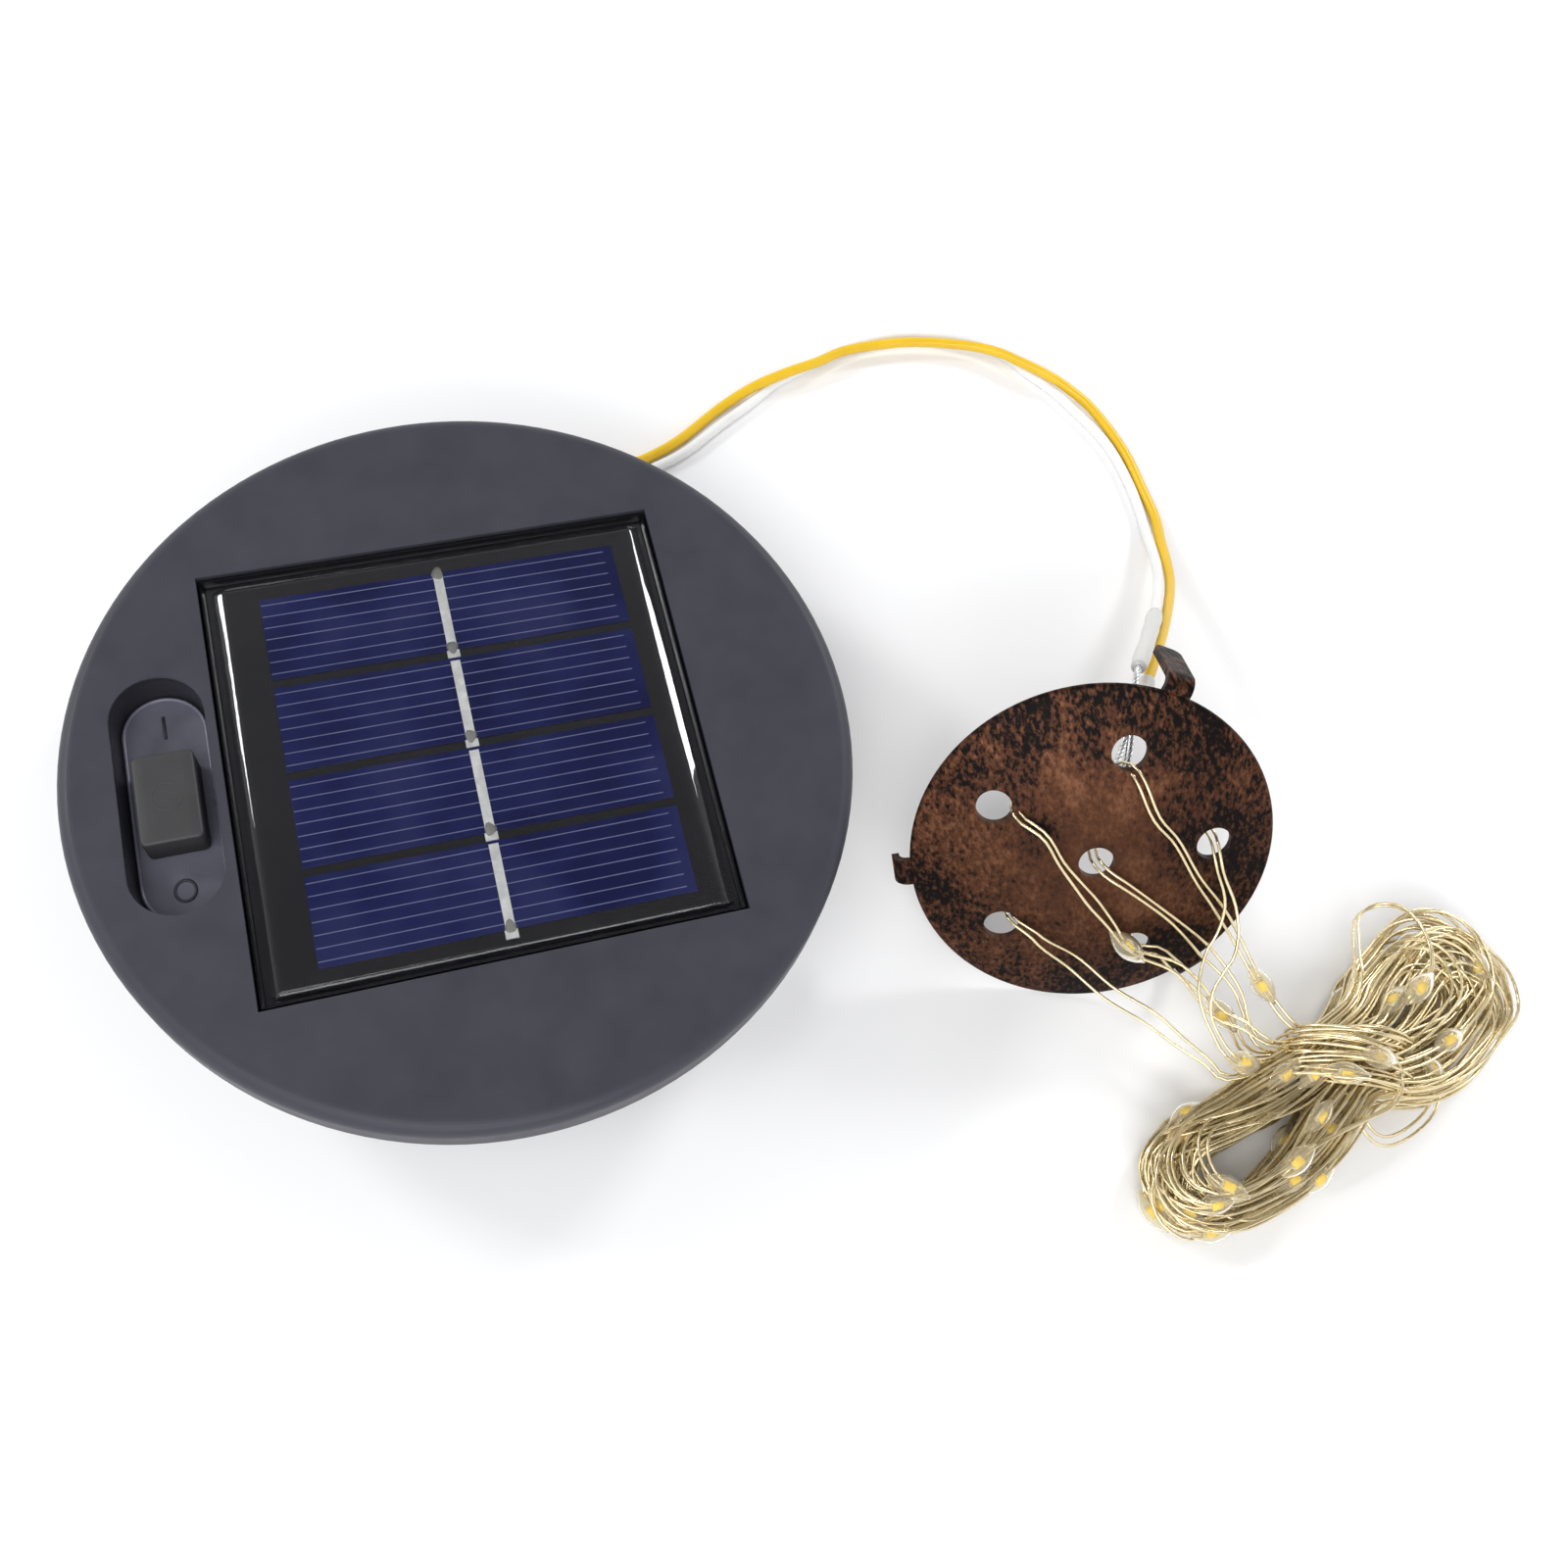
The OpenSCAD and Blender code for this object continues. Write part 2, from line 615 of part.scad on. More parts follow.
module switch_lead_1() {
    inner_wire([[recess_x + 0.25, 2.5, 8.6], [-28.4, 3, 8.4], [-25.6, 4, 8.8], [-22.6, 5, 8.6],
        [-21.8, 5.2, pcb_top]], 0.8, [0.1, 0.2, 0.6]);
}

module switch_lead_2() {
    inner_wire([[recess_x + 0.25, 0, 8.6], [-28.4, -0.6, 8.4], [-25.6, -1.2, 8.8],
        [-22.6, -1.6, 8.6], [-21.8, -1.6, pcb_top]], 0.8, [0.1, 0.2, 0.6]);
}

// The stretch of each lead inside the cup, from the board to the grommet's inner face
module inner_lead_yellow() {
    inner_wire([[-10.4, 6, pcb_top], [-10, 7.4, 9], [-6, 18, 9.6], [1, 28.2, 8.6], [8.6, 30.6, 5.8],
        [13, 29.2, exit_z], yellow_route[0]], lead_d, [0.95, 0.75, 0.05]);
}

module inner_lead_white() {
    inner_wire([[-7.6, 6, pcb_top], [-7, 7, 9], [-3, 16, 9], [4, 26.8, 8.6], [10.6, 28.4, 5.8],
        [14.6, 27.6, exit_z], white_route[0]], lead_d, [0.92, 0.92, 0.9]);
}

// Rubber grommet in the cup's wall; both leads pass through it
module wire_grommet() {
    color([0.08, 0.08, 0.08]) difference() {
        rotate([0, 0, exit_angle]) translate([cup_inner_r - 1, 0, exit_z]) rotate([0, 90, 0]) {
            cylinder(r = grommet_r, h = cup_wall + 1.8);
            translate([0, 0, cup_wall + 1.2]) cylinder(r = grommet_r + 0.6, h = 1.4);
        }
        for (side = [-1, 1]) lead_hole(side);
    }
}

// The hole for one lead, right through the grommet
module lead_hole(side) {
    translate(exit_point(cup_inner_r - 2, side)) rotate([0, 0, exit_angle]) rotate([0, 90, 0])
        cylinder(d = lead_d + 0.1, h = 8);
}

module lead_wire_yellow() {
    color([0.95, 0.75, 0.05]) tube(yellow_route, lead_d);
}

module lead_wire_white() {
    color([0.93, 0.93, 0.91]) tube(white_route, lead_d);
}

module sleeve_yellow() {
    color([0.92, 0.92, 0.9, 0.8]) tube(yellow_sleeve_route, lead_d + 0.7, 3);
}

module sleeve_white() {
    color([0.92, 0.92, 0.9, 0.8]) tube(white_sleeve_route, lead_d + 0.7, 3);
}

module solder_joint_yellow() {
    color([0.75, 0.75, 0.75]) tube(yellow_tail_route, 0.9, 2);
}

module solder_joint_white() {
    color([0.75, 0.75, 0.75]) tube(white_tail_route, 0.9, 2);
}

// Hot-melt glue that holds the joints and the starts of the strings behind the plate
module glue_blob() {
    blob_r = 3.3;
    blob_back = -1.3;
    color([0.9, 0.88, 0.8, 0.8]) placed_on_plate() intersection() {
        translate([-7, 0, 0]) union() {
            cylinder(r = blob_r, h = dome_h);
            rotate_extrude() polygon(concat([[0, 0]],
                [for (a = [0:10:90]) [blob_r * cos(a), blob_back * sin(a)]]));
        }
        translate([0, 0, dome_h - plate_t - dome_r]) sphere(dome_r);
    }
}

function dome_z(x) = sqrt(dome_r * dome_r - x * x) - (dome_r - dome_h);

// Domed plate with a rolled rim, one middle hole, five ring holes and three tabs bent back
module rose_plate() {
    steps = 16;
    tab_backs = [5, 8, 2.6];
    edge_r = plate_t / 2 - 0.02;
    edge_x = plate_r - edge_r;
    edge_z = dome_z(edge_x) - plate_t / 2;
    color([0.36, 0.2, 0.13]) placed_on_plate() difference() {
        union() {
            rotate_extrude() polygon(concat(
                [for (i = [0:steps]) let (x = edge_x * i / steps) [x, dome_z(x)]],
                [for (a = [60:-20:-80]) [edge_x + edge_r * cos(a), edge_z + edge_r * sin(a)]],
                [for (i = [steps:-1:0]) let (x = edge_x * i / steps) [x, dome_z(x) - plate_t]]));
            for (i = [0:2]) rotate([0, 0, first_tab + 120 * i]) bent_tab(tab_backs[i]);
        }
        plate_holes();
    }
}

// A tab that leaves the rim, turns through a quarter circle and ends in a tip with round corners
module bent_tab(back) {
    t = 0.8;
    root = 1.4;
    bend_r = 1.6;
    bend_x = plate_r + 0.2;
    top_z = -0.1;
    tip_r = 0.9;
    translate([plate_r - root, -tab_w / 2, top_z - t]) cube([bend_x - plate_r + root, tab_w, t]);
    translate([bend_x, 0, top_z - bend_r]) rotate([90, 0, 0]) intersection() {
        difference() {
            cylinder(r = bend_r, h = tab_w, center = true);
            cylinder(r = bend_r - t, h = tab_w + 2, center = true);
        }
        translate([0, 0, -tab_w / 2]) cube([bend_r + 1, bend_r + 1, tab_w]);
    }
    straight = back - bend_r;
    translate([bend_x + bend_r - t, 0, top_z - bend_r]) {
        translate([0, -tab_w / 2, tip_r - straight]) cube([t, tab_w, straight - tip_r]);
        translate([0, tip_r - tab_w / 2, -straight]) cube([t, tab_w - 2 * tip_r, straight]);
        for (side = [-1, 1]) translate([0, side * (tab_w / 2 - tip_r), tip_r - straight])
            rotate([0, 90, 0]) cylinder(r = tip_r, h = t);
    }
}

module plate_holes() {
    through = 10;
    translate([0, 0, -1]) cylinder(d = hole_d, h = through);
    for (i = [0:4]) rotate([0, 0, first_hole + 72 * i]) translate([hole_ring_r, 0, -1])
        cylinder(d = hole_d, h = through);
}

module light_string(i) {
    color([0.78, 0.72, 0.55]) tube(string_route(i), string_d);
}

// The rest of all six strings, folded and tied into a bow
module string_hank() {
    color([0.72, 0.66, 0.46]) {
        translate([left_lobe.x, left_lobe.y, 0]) cylinder(r = left_lobe_r, h = hank_h);
        translate([right_lobe.x, right_lobe.y, 0]) cylinder(r = right_lobe_r, h = hank_h);
        linear_extrude(hank_h) polygon([
            left_lobe + [-2.4, 7.6], waist + [-2.4, 6], right_lobe + [-4.6, 10.5],
            right_lobe + [4.6, -10.5], waist + [2.4, -6], left_lobe + [2.4, -7.6]]);
    }
}

lid_shell();
panel_board();
solar_cell(0);  // solar_cell_1
solar_cell(1);  // solar_cell_2
solar_cell(2);  // solar_cell_3
solar_cell(3);  // solar_cell_4
cell_ribbons();
panel_resin();
switch_knob();
switch_body();
switch_pins();
housing_gasket();
housing_cup();
housing_screws();
battery_door();
battery_door_screw();
battery();
battery_contact_plus();
battery_contact_minus();
battery_spring();
circuit_board();
board_screws();
driver_chip();
inductor();
capacitor();
panel_lead_red();
panel_lead_black();
battery_lead_red();
battery_lead_black();
switch_lead_1();
switch_lead_2();
inner_lead_yellow();
inner_lead_white();
wire_grommet();
lead_wire_yellow();
lead_wire_white();
sleeve_yellow();
sleeve_white();
solder_joint_yellow();
solder_joint_white();
glue_blob();
rose_plate();
light_string(0);  // light_string_1
light_string(1);  // light_string_2
light_string(2);  // light_string_3
light_string(3);  // light_string_4
light_string(4);  // light_string_5
light_string(5);  // light_string_6
string_hank();
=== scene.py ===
import json
import math
import random

import bpy
from mathutils import Matrix, Vector, noise


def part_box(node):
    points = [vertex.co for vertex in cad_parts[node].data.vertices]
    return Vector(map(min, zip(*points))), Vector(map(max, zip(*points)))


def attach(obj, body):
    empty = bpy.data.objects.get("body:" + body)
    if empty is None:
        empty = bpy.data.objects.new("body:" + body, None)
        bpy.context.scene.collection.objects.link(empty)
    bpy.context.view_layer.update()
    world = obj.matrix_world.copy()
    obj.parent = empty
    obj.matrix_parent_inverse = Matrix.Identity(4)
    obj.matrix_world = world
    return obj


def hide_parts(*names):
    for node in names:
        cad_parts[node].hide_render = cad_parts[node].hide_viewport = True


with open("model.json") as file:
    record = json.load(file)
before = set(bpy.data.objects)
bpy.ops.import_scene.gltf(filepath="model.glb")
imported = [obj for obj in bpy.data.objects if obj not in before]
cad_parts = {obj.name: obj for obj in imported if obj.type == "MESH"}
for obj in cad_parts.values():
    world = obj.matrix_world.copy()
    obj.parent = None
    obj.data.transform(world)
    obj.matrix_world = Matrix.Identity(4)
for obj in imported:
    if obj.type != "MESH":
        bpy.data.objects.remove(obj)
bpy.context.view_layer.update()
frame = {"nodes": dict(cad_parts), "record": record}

MM = 0.001
BODY = "main"
KNOB_BODY = "knob"


# --- camera

CAMERA_PLACE = (-4.48, -69.01, 170.78)
CAMERA_ANGLES = (23.12, -7.243, -14.834)  # degrees
CAMERA_LENS = 36.57
SENSOR_WIDTH = 36


def placed(name, data):
    """A new object in the scene."""
    made = bpy.data.objects.new(name, data)
    bpy.context.collection.objects.link(made)
    return made


def make_camera():
    camera = placed("camera", bpy.data.cameras.new("camera"))
    camera.location = Vector(CAMERA_PLACE) * MM
    camera.rotation_euler = [math.radians(a) for a in CAMERA_ANGLES]
    camera.data.sensor_width = SENSOR_WIDTH
    camera.data.lens = CAMERA_LENS
    camera.data.clip_start = 0.01
    bpy.context.scene.camera = camera


make_camera()


# --- materials

# Where the values of a noise mostly lie
NOISE_SPAN = (0.3, 0.7)
# Blobs in a metre: the uneven tone of plastic, and the fine grain of plastic and metal
PLASTIC_BLOTCH = 220
PLASTIC_GRAIN = 6000
METAL_GRAIN = 9000


def set_socket(shader, name, value):
    shader.inputs[name].default_value = value


def new_material(name):
    """A material, its nodes, its links and its Principled shader."""
    material = bpy.data.materials.new(name)
    material.use_nodes = True
    nodes, links = material.node_tree.nodes, material.node_tree.links
    return material, nodes, links, nodes["Principled BSDF"]


def noise_node(nodes, links, scale, detail=4, rough=0.55, stretch=(1, 1, 1), turn=(0, 0, 0)):
    """Noise in the row frame. Scale counts blobs in a metre."""
    place = nodes.new("ShaderNodeTexCoord")
    mapping = nodes.new("ShaderNodeMapping")
    texture = nodes.new("ShaderNodeTexNoise")
    mapping.inputs["Scale"].default_value = stretch
    mapping.inputs["Rotation"].default_value = [math.radians(a) for a in turn]
    texture.inputs["Scale"].default_value = scale
    texture.inputs["Detail"].default_value = detail
    texture.inputs["Roughness"].default_value = rough
    links.new(place.outputs["Object"], mapping.inputs["Vector"])
    links.new(mapping.outputs["Vector"], texture.inputs["Vector"])
    return texture.outputs["Fac"]


def ramp_node(nodes, links, source, stops):
    """A colour ramp: stops are (place, colour)."""
    ramp = nodes.new("ShaderNodeValToRGB")
    while len(ramp.color_ramp.elements) < len(stops):
        ramp.color_ramp.elements.new(0.5)
    for element, (place, colour) in zip(ramp.color_ramp.elements, stops):
        element.position = place
        element.color = (*colour, 1)
    links.new(source, ramp.inputs["Fac"])
    return ramp.outputs["Color"]


def range_node(nodes, links, source, low, high, span=NOISE_SPAN):
    """Maps a span of the source to low to high."""
    node = nodes.new("ShaderNodeMapRange")
    for socket, value in zip(("From Min", "From Max", "To Min", "To Max"), (*span, low, high)):
        node.inputs[socket].default_value = value
    links.new(source, node.inputs["Value"])
    return node.outputs["Result"]


def bump_node(nodes, links, source, shader, depth):
    """Fine relief: depth in metres."""
    bump = nodes.new("ShaderNodeBump")
    bump.inputs["Distance"].default_value = depth
    links.new(source, bump.inputs["Height"])
    links.new(bump.outputs["Normal"], shader.inputs["Normal"])


def shade(colour, factor):
    return tuple(min(1.0, c * factor) for c in colour)


def uneven(nodes, links, shader, colour, rough, spread, blotch):
    """A colour and a roughness that vary a little from place to place."""
    blotches = noise_node(nodes, links, blotch)
    tones = (shade(colour, 1 - spread), shade(colour, 1 + spread))
    colours = ramp_node(nodes, links, blotches, list(zip(NOISE_SPAN, tones)))
    links.new(colours, shader.inputs["Base Color"])
    links.new(range_node(nodes, links, blotches, *rough), shader.inputs["Roughness"])


def plastic(name, colour, rough=(0.3, 0.4), spread=0.12, grain_depth=6e-6, coat=0, specular=0.5):
    """Moulded plastic: slightly uneven colour and gloss, and a fine moulded grain."""
    material, nodes, links, shader = new_material(name)
    uneven(nodes, links, shader, colour, rough, spread, PLASTIC_BLOTCH)
    bump_node(nodes, links, noise_node(nodes, links, PLASTIC_GRAIN, detail=2), shader, grain_depth)
    set_socket(shader, "Coat Weight", coat)
    set_socket(shader, "Specular IOR Level", specular)
    return material


def metal(name, colour, rough=(0.25, 0.4), spread=0.1, blotch=900, grain_depth=4e-6):
    """Plated or drawn metal: slightly uneven colour and gloss, and a fine grain."""
    material, nodes, links, shader = new_material(name)
    uneven(nodes, links, shader, colour, rough, spread, blotch)
    bump_node(nodes, links, noise_node(nodes, links, METAL_GRAIN, detail=2), shader, grain_depth)
    set_socket(shader, "Metallic", 1.0)
    return material


def clear(name, colour, rough, transmission, ior=1.45, grain=700, grain_depth=3e-5):
    """Clear or milky resin, glue or sleeve."""
    material, nodes, links, shader = new_material(name)
    cloud = noise_node(nodes, links, grain)
    tones = (shade(colour, 0.94), shade(colour, 1.03))
    colours = ramp_node(nodes, links, cloud, list(zip(NOISE_SPAN, tones)))
    links.new(colours, shader.inputs["Base Color"])
    links.new(range_node(nodes, links, cloud, rough * 0.7, rough * 1.3), shader.inputs["Roughness"])
    bump_node(nodes, links, cloud, shader, grain_depth)
    set_socket(shader, "Transmission Weight", transmission)
    set_socket(shader, "IOR", ior)
    return material


PLATE_PLACE = (62.3, -23.7, 16.05)
# Distances from the plate's middle, in metres, between which its colour darkens
PATINA_SPAN = (0.005, 0.0185)


def copper_patina():
    """Antique copper: smooth brown in the middle, nearly black with rubbed flecks to the rim."""
    material, nodes, links, shader = new_material("copper_patina")

    def combine(operation, a, b):
        node = nodes.new("ShaderNodeMath")
        node.operation = operation
        for socket, value in zip(node.inputs, (a, b)):
            if isinstance(value, float):
                socket.default_value = value
            else:
                links.new(value, socket)
        return node.outputs["Value"]

    place = nodes.new("ShaderNodeTexCoord")
    distance = nodes.new("ShaderNodeVectorMath")
    distance.operation = "DISTANCE"
    distance.inputs[1].default_value = Vector(PLATE_PLACE) * MM
    links.new(place.outputs["Object"], distance.inputs[0])

    def towards_rim(middle, edge):
        return range_node(nodes, links, distance.outputs["Value"], middle, edge, span=PATINA_SPAN)

    hatch = [noise_node(nodes, links, 2000, detail=3, rough=0.65, stretch=(1, 0.45, 0.8),
                        turn=(0, 0, a)) for a in (35, -40)]
    fine = combine("MULTIPLY", combine("ADD", *hatch), 0.5)
    broad = noise_node(nodes, links, 130, detail=4, rough=0.6, stretch=(1, 0.5, 1), turn=(0, 0, 35))
    speckle = combine("MULTIPLY", combine("SUBTRACT", fine, 0.5), towards_rim(0.3, 0.95))
    wear = combine("ADD", speckle, combine("MULTIPLY", combine("SUBTRACT", broad, 0.5), 0.42))
    wear = combine("ADD", wear, towards_rim(0.545, 0.462))
    colours = ramp_node(nodes, links, wear, [
        (0.425, (0.004, 0.003, 0.003)), (0.46, (0.018, 0.008, 0.005)),
        (0.485, (0.045, 0.018, 0.010)), (0.54, (0.072, 0.028, 0.013)),
        (0.62, (0.13, 0.055, 0.028))])
    links.new(colours, shader.inputs["Base Color"])
    links.new(range_node(nodes, links, wear, 0.55, 0.42), shader.inputs["Roughness"])
    bump_node(nodes, links, fine, shader, 8e-5)
    set_socket(shader, "Metallic", 0.72)
    set_socket(shader, "Specular IOR Level", 0.2)
    return material


def silicon():
    """Blue anti-reflection coat on silicon, a little uneven from strip to strip."""
    material, nodes, links, shader = new_material("silicon")
    cloud = noise_node(nodes, links, 90, detail=2)
    colours = ramp_node(nodes, links, cloud, [
        (0.38, (0.003, 0.006, 0.075)), (0.5, (0.008, 0.014, 0.105)), (0.62, (0.02, 0.026, 0.12))])
    links.new(colours, shader.inputs["Base Color"])
    links.new(range_node(nodes, links, cloud, 0.3, 0.42), shader.inputs["Roughness"])
    bump_node(nodes, links, noise_node(nodes, links, 5000, detail=2), shader, 3e-6)
    set_socket(shader, "Specular IOR Level", 0.12)
    return material


LID_GREY = (0.0372, 0.0367, 0.0487)
PLASTICS = {
    "lid_plastic": dict(colour=LID_GREY, rough=(0.42, 0.52), spread=0.07, specular=0.3),
    "cup_plastic": dict(colour=shade(LID_GREY, 0.8), rough=(0.45, 0.58)),
    # The recess's wall: the lid's grey darkened, as painted shade for the shadowed wall
    "recess_plastic": dict(colour=shade(LID_GREY, 0.35), rough=(0.3, 0.38)),
    # The recess's floor sheet: the lid's grey lightened, as painted light on the shadowed floor
    "recess_floor": dict(colour=shade(LID_GREY, 3.0), rough=(0.4, 0.5)),
    # The rib at the recess's floor: the lid's grey lightened, as a painted highlight along its edge
    "rib_grey": dict(colour=shade(LID_GREY, 4), rough=(0.25, 0.35)),
    "board_black": dict(colour=(0.005, 0.005, 0.006), rough=(0.5, 0.6), specular=0.15,
                        grain_depth=5e-7),
    # The black in the panel's pocket gap is painted shade
    "seal_black": dict(colour=(0.004, 0.004, 0.005), rough=(0.35, 0.45), specular=0.1),
    "finger_silver": dict(colour=(0.2, 0.23, 0.42), rough=(0.5, 0.6)),
    "knob_plastic": dict(colour=(0.027, 0.027, 0.028), rough=(0.5, 0.6), spread=0.08),
    "black_rubber": dict(colour=(0.02, 0.02, 0.02), rough=(0.6, 0.75)),
    "battery_wrap": dict(colour=(0.05, 0.28, 0.08), rough=(0.2, 0.3), coat=0.4),
    "board_green": dict(colour=(0.02, 0.12, 0.04), rough=(0.25, 0.4), coat=0.3),
    "chip_black": dict(colour=(0.015, 0.015, 0.015), rough=(0.45, 0.6)),
    "inductor_green": dict(colour=(0.08, 0.2, 0.09), rough=(0.35, 0.5)),
    "capacitor_blue": dict(colour=(0.015, 0.02, 0.09), rough=(0.25, 0.35)),
    "wire_red": dict(colour=(0.55, 0.02, 0.015)),
    "wire_black": dict(colour=(0.015, 0.015, 0.015)),
    "wire_blue": dict(colour=(0.02, 0.06, 0.35)),
    "wire_yellow": dict(colour=(0.75, 0.47, 0.008), rough=(0.3, 0.42), spread=0.05),
    "wire_white": dict(colour=(0.8, 0.8, 0.78), rough=(0.3, 0.42), spread=0.03),
    "led_chip": dict(colour=(0.95, 0.67, 0.004), rough=(0.5, 0.6), spread=0.08, specular=0.1),
    "led_body": dict(colour=(0.62, 0.57, 0.42), rough=(0.4, 0.5), spread=0.04),
}
METALS = {
    "ribbon_tin": dict(colour=(0.9, 0.91, 0.87), rough=(0.35, 0.55), blotch=1500),
    "solder_grey": dict(colour=(0.33, 0.33, 0.3), rough=(0.45, 0.6), blotch=2500, grain_depth=4e-5),
    "switch_metal": dict(colour=(0.55, 0.55, 0.57)),
    "contact_metal": dict(colour=(0.72, 0.7, 0.62)),
    "screw_steel": dict(colour=(0.6, 0.6, 0.63)),
    "tinned_wire": dict(colour=(0.6, 0.6, 0.6), rough=(0.2, 0.35)),
    "string_wire": dict(colour=(0.82, 0.70, 0.44), rough=(0.2, 0.32), spread=0.12, blotch=400),
}
RESINS = {
    "panel_resin": dict(colour=(0.97, 0.97, 1.0), rough=0.03, transmission=1.0, ior=1.5, grain=60,
                        grain_depth=4e-6),
    "clear_sleeve": dict(colour=(0.8, 0.79, 0.76), rough=0.35, transmission=0.25, ior=1.3,
                         grain=120, grain_depth=1e-6),
    "clear_glue": dict(colour=(0.85, 0.83, 0.76), rough=0.25, transmission=0.5),
    "led_lens": dict(colour=(0.85, 0.78, 0.58), rough=0.15, transmission=0.8, ior=1.18),
}
MATERIALS = {"cell_blue": silicon(), "copper_patina": copper_patina()}
for make, looks in ((plastic, PLASTICS), (metal, METALS), (clear, RESINS)):
    MATERIALS.update({name: make(name, **look) for name, look in looks.items()})


# --- mesh helpers


class Shape:
    """Vertices (millimetres, in the row frame) and faces, gathered before they become a piece."""

    def __init__(self):
        self.verts, self.faces, self.slots = [], [], []

    def add(self, verts, faces, slot=0):
        start = len(self.verts)
        self.verts += [Vector(v) for v in verts]
        self.faces += [tuple(start + i for i in face) for face in faces]
        self.slots += [slot] * len(faces)

    def add_hoop(self, rings):
        """A closed band through rings of points, from the last back to the first."""
        self.add([v for ring in rings for v in ring], hoop_faces(len(rings), len(rings[0])))

    def piece(self, name, materials, record_slot, body=BODY, smooth=True):
        """Makes the piece, with its looks and the body it rides on. record_slot is not used."""
        mesh = bpy.data.meshes.new(name)
        mesh.from_pydata([v * MM for v in self.verts], [], self.faces)
        for key in materials:
            mesh.materials.append(MATERIALS[key])
        mesh.polygons.foreach_set("material_index", self.slots)
        mesh.polygons.foreach_set("use_smooth", [smooth] * len(self.faces))
        mesh.update()
        made = placed(name, mesh)
        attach(made, body)
        return made


def tube_faces(rings, sides):
    """The faces of a tube through rings of points, then its first and its last cap."""
    faces = []
    for r in range(rings - 1):
        here, there = r * sides, (r + 1) * sides
        for k in range(sides):
            j = (k + 1) % sides
            faces.append((here + k, here + j, there + j, there + k))
    faces.append(tuple(reversed(range(sides))))
    faces.append(tuple((rings - 1) * sides + k for k in range(sides)))
    return faces


def hoop_faces(rings, sides):
    """The faces of a band through rings of points, where the last ring joins the first."""
    faces = []
    for r in range(rings):
        here, there = r * sides, (r + 1) % rings * sides
        for k in range(sides):
            j = (k + 1) % sides
            faces.append((here + k, there + k, there + j, here + j))
    return faces


def ease(t):
    """From 0 to 1 with a gentle start and end."""
    t = min(1, max(0, t))
    return t * t * (3 - 2 * t)


def catmull(a, b, c, d, t):
    """A point of the smooth curve from b to c, with a before and d after."""
    return 0.5 * (2 * b + (c - a) * t + (2 * a - 5 * b + 4 * c - d) * t * t
                  + (3 * b - a - 3 * c + d) * t * t * t)


def smooth_path(points, step):
    """A smooth curve through the points, with its own points about a step apart."""
    points = [Vector(p) for p in points]
    last = len(points) - 1
    dense = []
    for i in range(last):
        a, b, c, d = (points[max(i - 1, 0)], points[i], points[i + 1], points[min(i + 2, last)])
        parts = max(4, math.ceil((c - b).length / step * 3))
        dense += [catmull(a, b, c, d, k / parts) for k in range(parts)]
    return respaced(dense + [points[last]], step)


def path_length(path):
    return sum((b - a).length for a, b in zip(path, path[1:]))


def respaced(path, step):
    """The same line with evenly spaced points."""
    total = path_length(path)
    count = max(2, round(total / step))
    out, i, gone = [path[0].copy()], 0, 0.0
    for k in range(1, count):
        wanted = total * k / count
        while gone + (path[i + 1] - path[i]).length < wanted:
            gone += (path[i + 1] - path[i]).length
            i += 1
        piece = path[i + 1] - path[i]
        out.append(path[i] + piece * ((wanted - gone) / piece.length))
    return out + [path[-1].copy()]


def bend_radius(a, b, c):
    """The radius of the circle through three points."""
    doubled = 2 * (b - a).cross(c - a).length
    return (b - a).length * (c - b).length * (c - a).length / max(1e-9, doubled)


def eased(path, least):
    """The path with its tight bends opened. Least gives a point's smallest radius by its number."""
    path = [p.copy() for p in path]
    rounds, reach = 45, 2
    for _ in range(rounds):
        tight = {j for i in range(reach, len(path) - reach)
                 if bend_radius(path[i - reach], path[i], path[i + reach]) < least(i)
                 for j in range(max(1, i - reach), min(len(path) - 1, i + reach + 1))}
        for j in sorted(tight):
            path[j] = path[j] * 0.5 + (path[j - 1] + path[j + 1]) * 0.25
    return path


def directions(path):
    """For each point: the way ahead and two sideways directions that turn as little as they can."""
    last = len(path) - 1
    side = None
    out = []
    for i in range(last + 1):
        ahead = (path[min(i + 1, last)] - path[max(i - 1, 0)]).normalized()
        if side is None:
            side = Vector((0, 0, 1)) if abs(ahead.z) < 0.8 else Vector((1, 0, 0))
        side = (side - ahead * side.dot(ahead)).normalized()
        out.append((ahead, side, ahead.cross(side)))
    return out


def add_tube(shape, path, radius, sides):
    """A closed tube along a path. Radius is one number, or a function of the place from 0 to 1."""
    last = len(path) - 1
    verts = []
    for i, (ahead, side, up) in enumerate(directions(path)):
        r = radius(i / last) if callable(radius) else radius
        for k in range(sides):
            a = 2 * math.pi * k / sides
            verts.append(path[i] + side * (r * math.cos(a)) + up * (r * math.sin(a)))
    shape.add(verts, tube_faces(len(path), sides))


# --- the two leads

# Radii about the lid's axis
CUP_R = 37
CUP_INNER_R = 35.4
# The middle of the grommet, and how far the leads lie from it sideways
EXIT_ANGLE = math.radians(62)
EXIT_Z = 5
EXIT_SPREAD = 0.9
# A lead's straight run, inside and outside the cup's wall
INSIDE_RUN = 1
OUTSIDE_RUN = 2.4
LEAD_D = 1.3
LEAD_STEP = 0.8

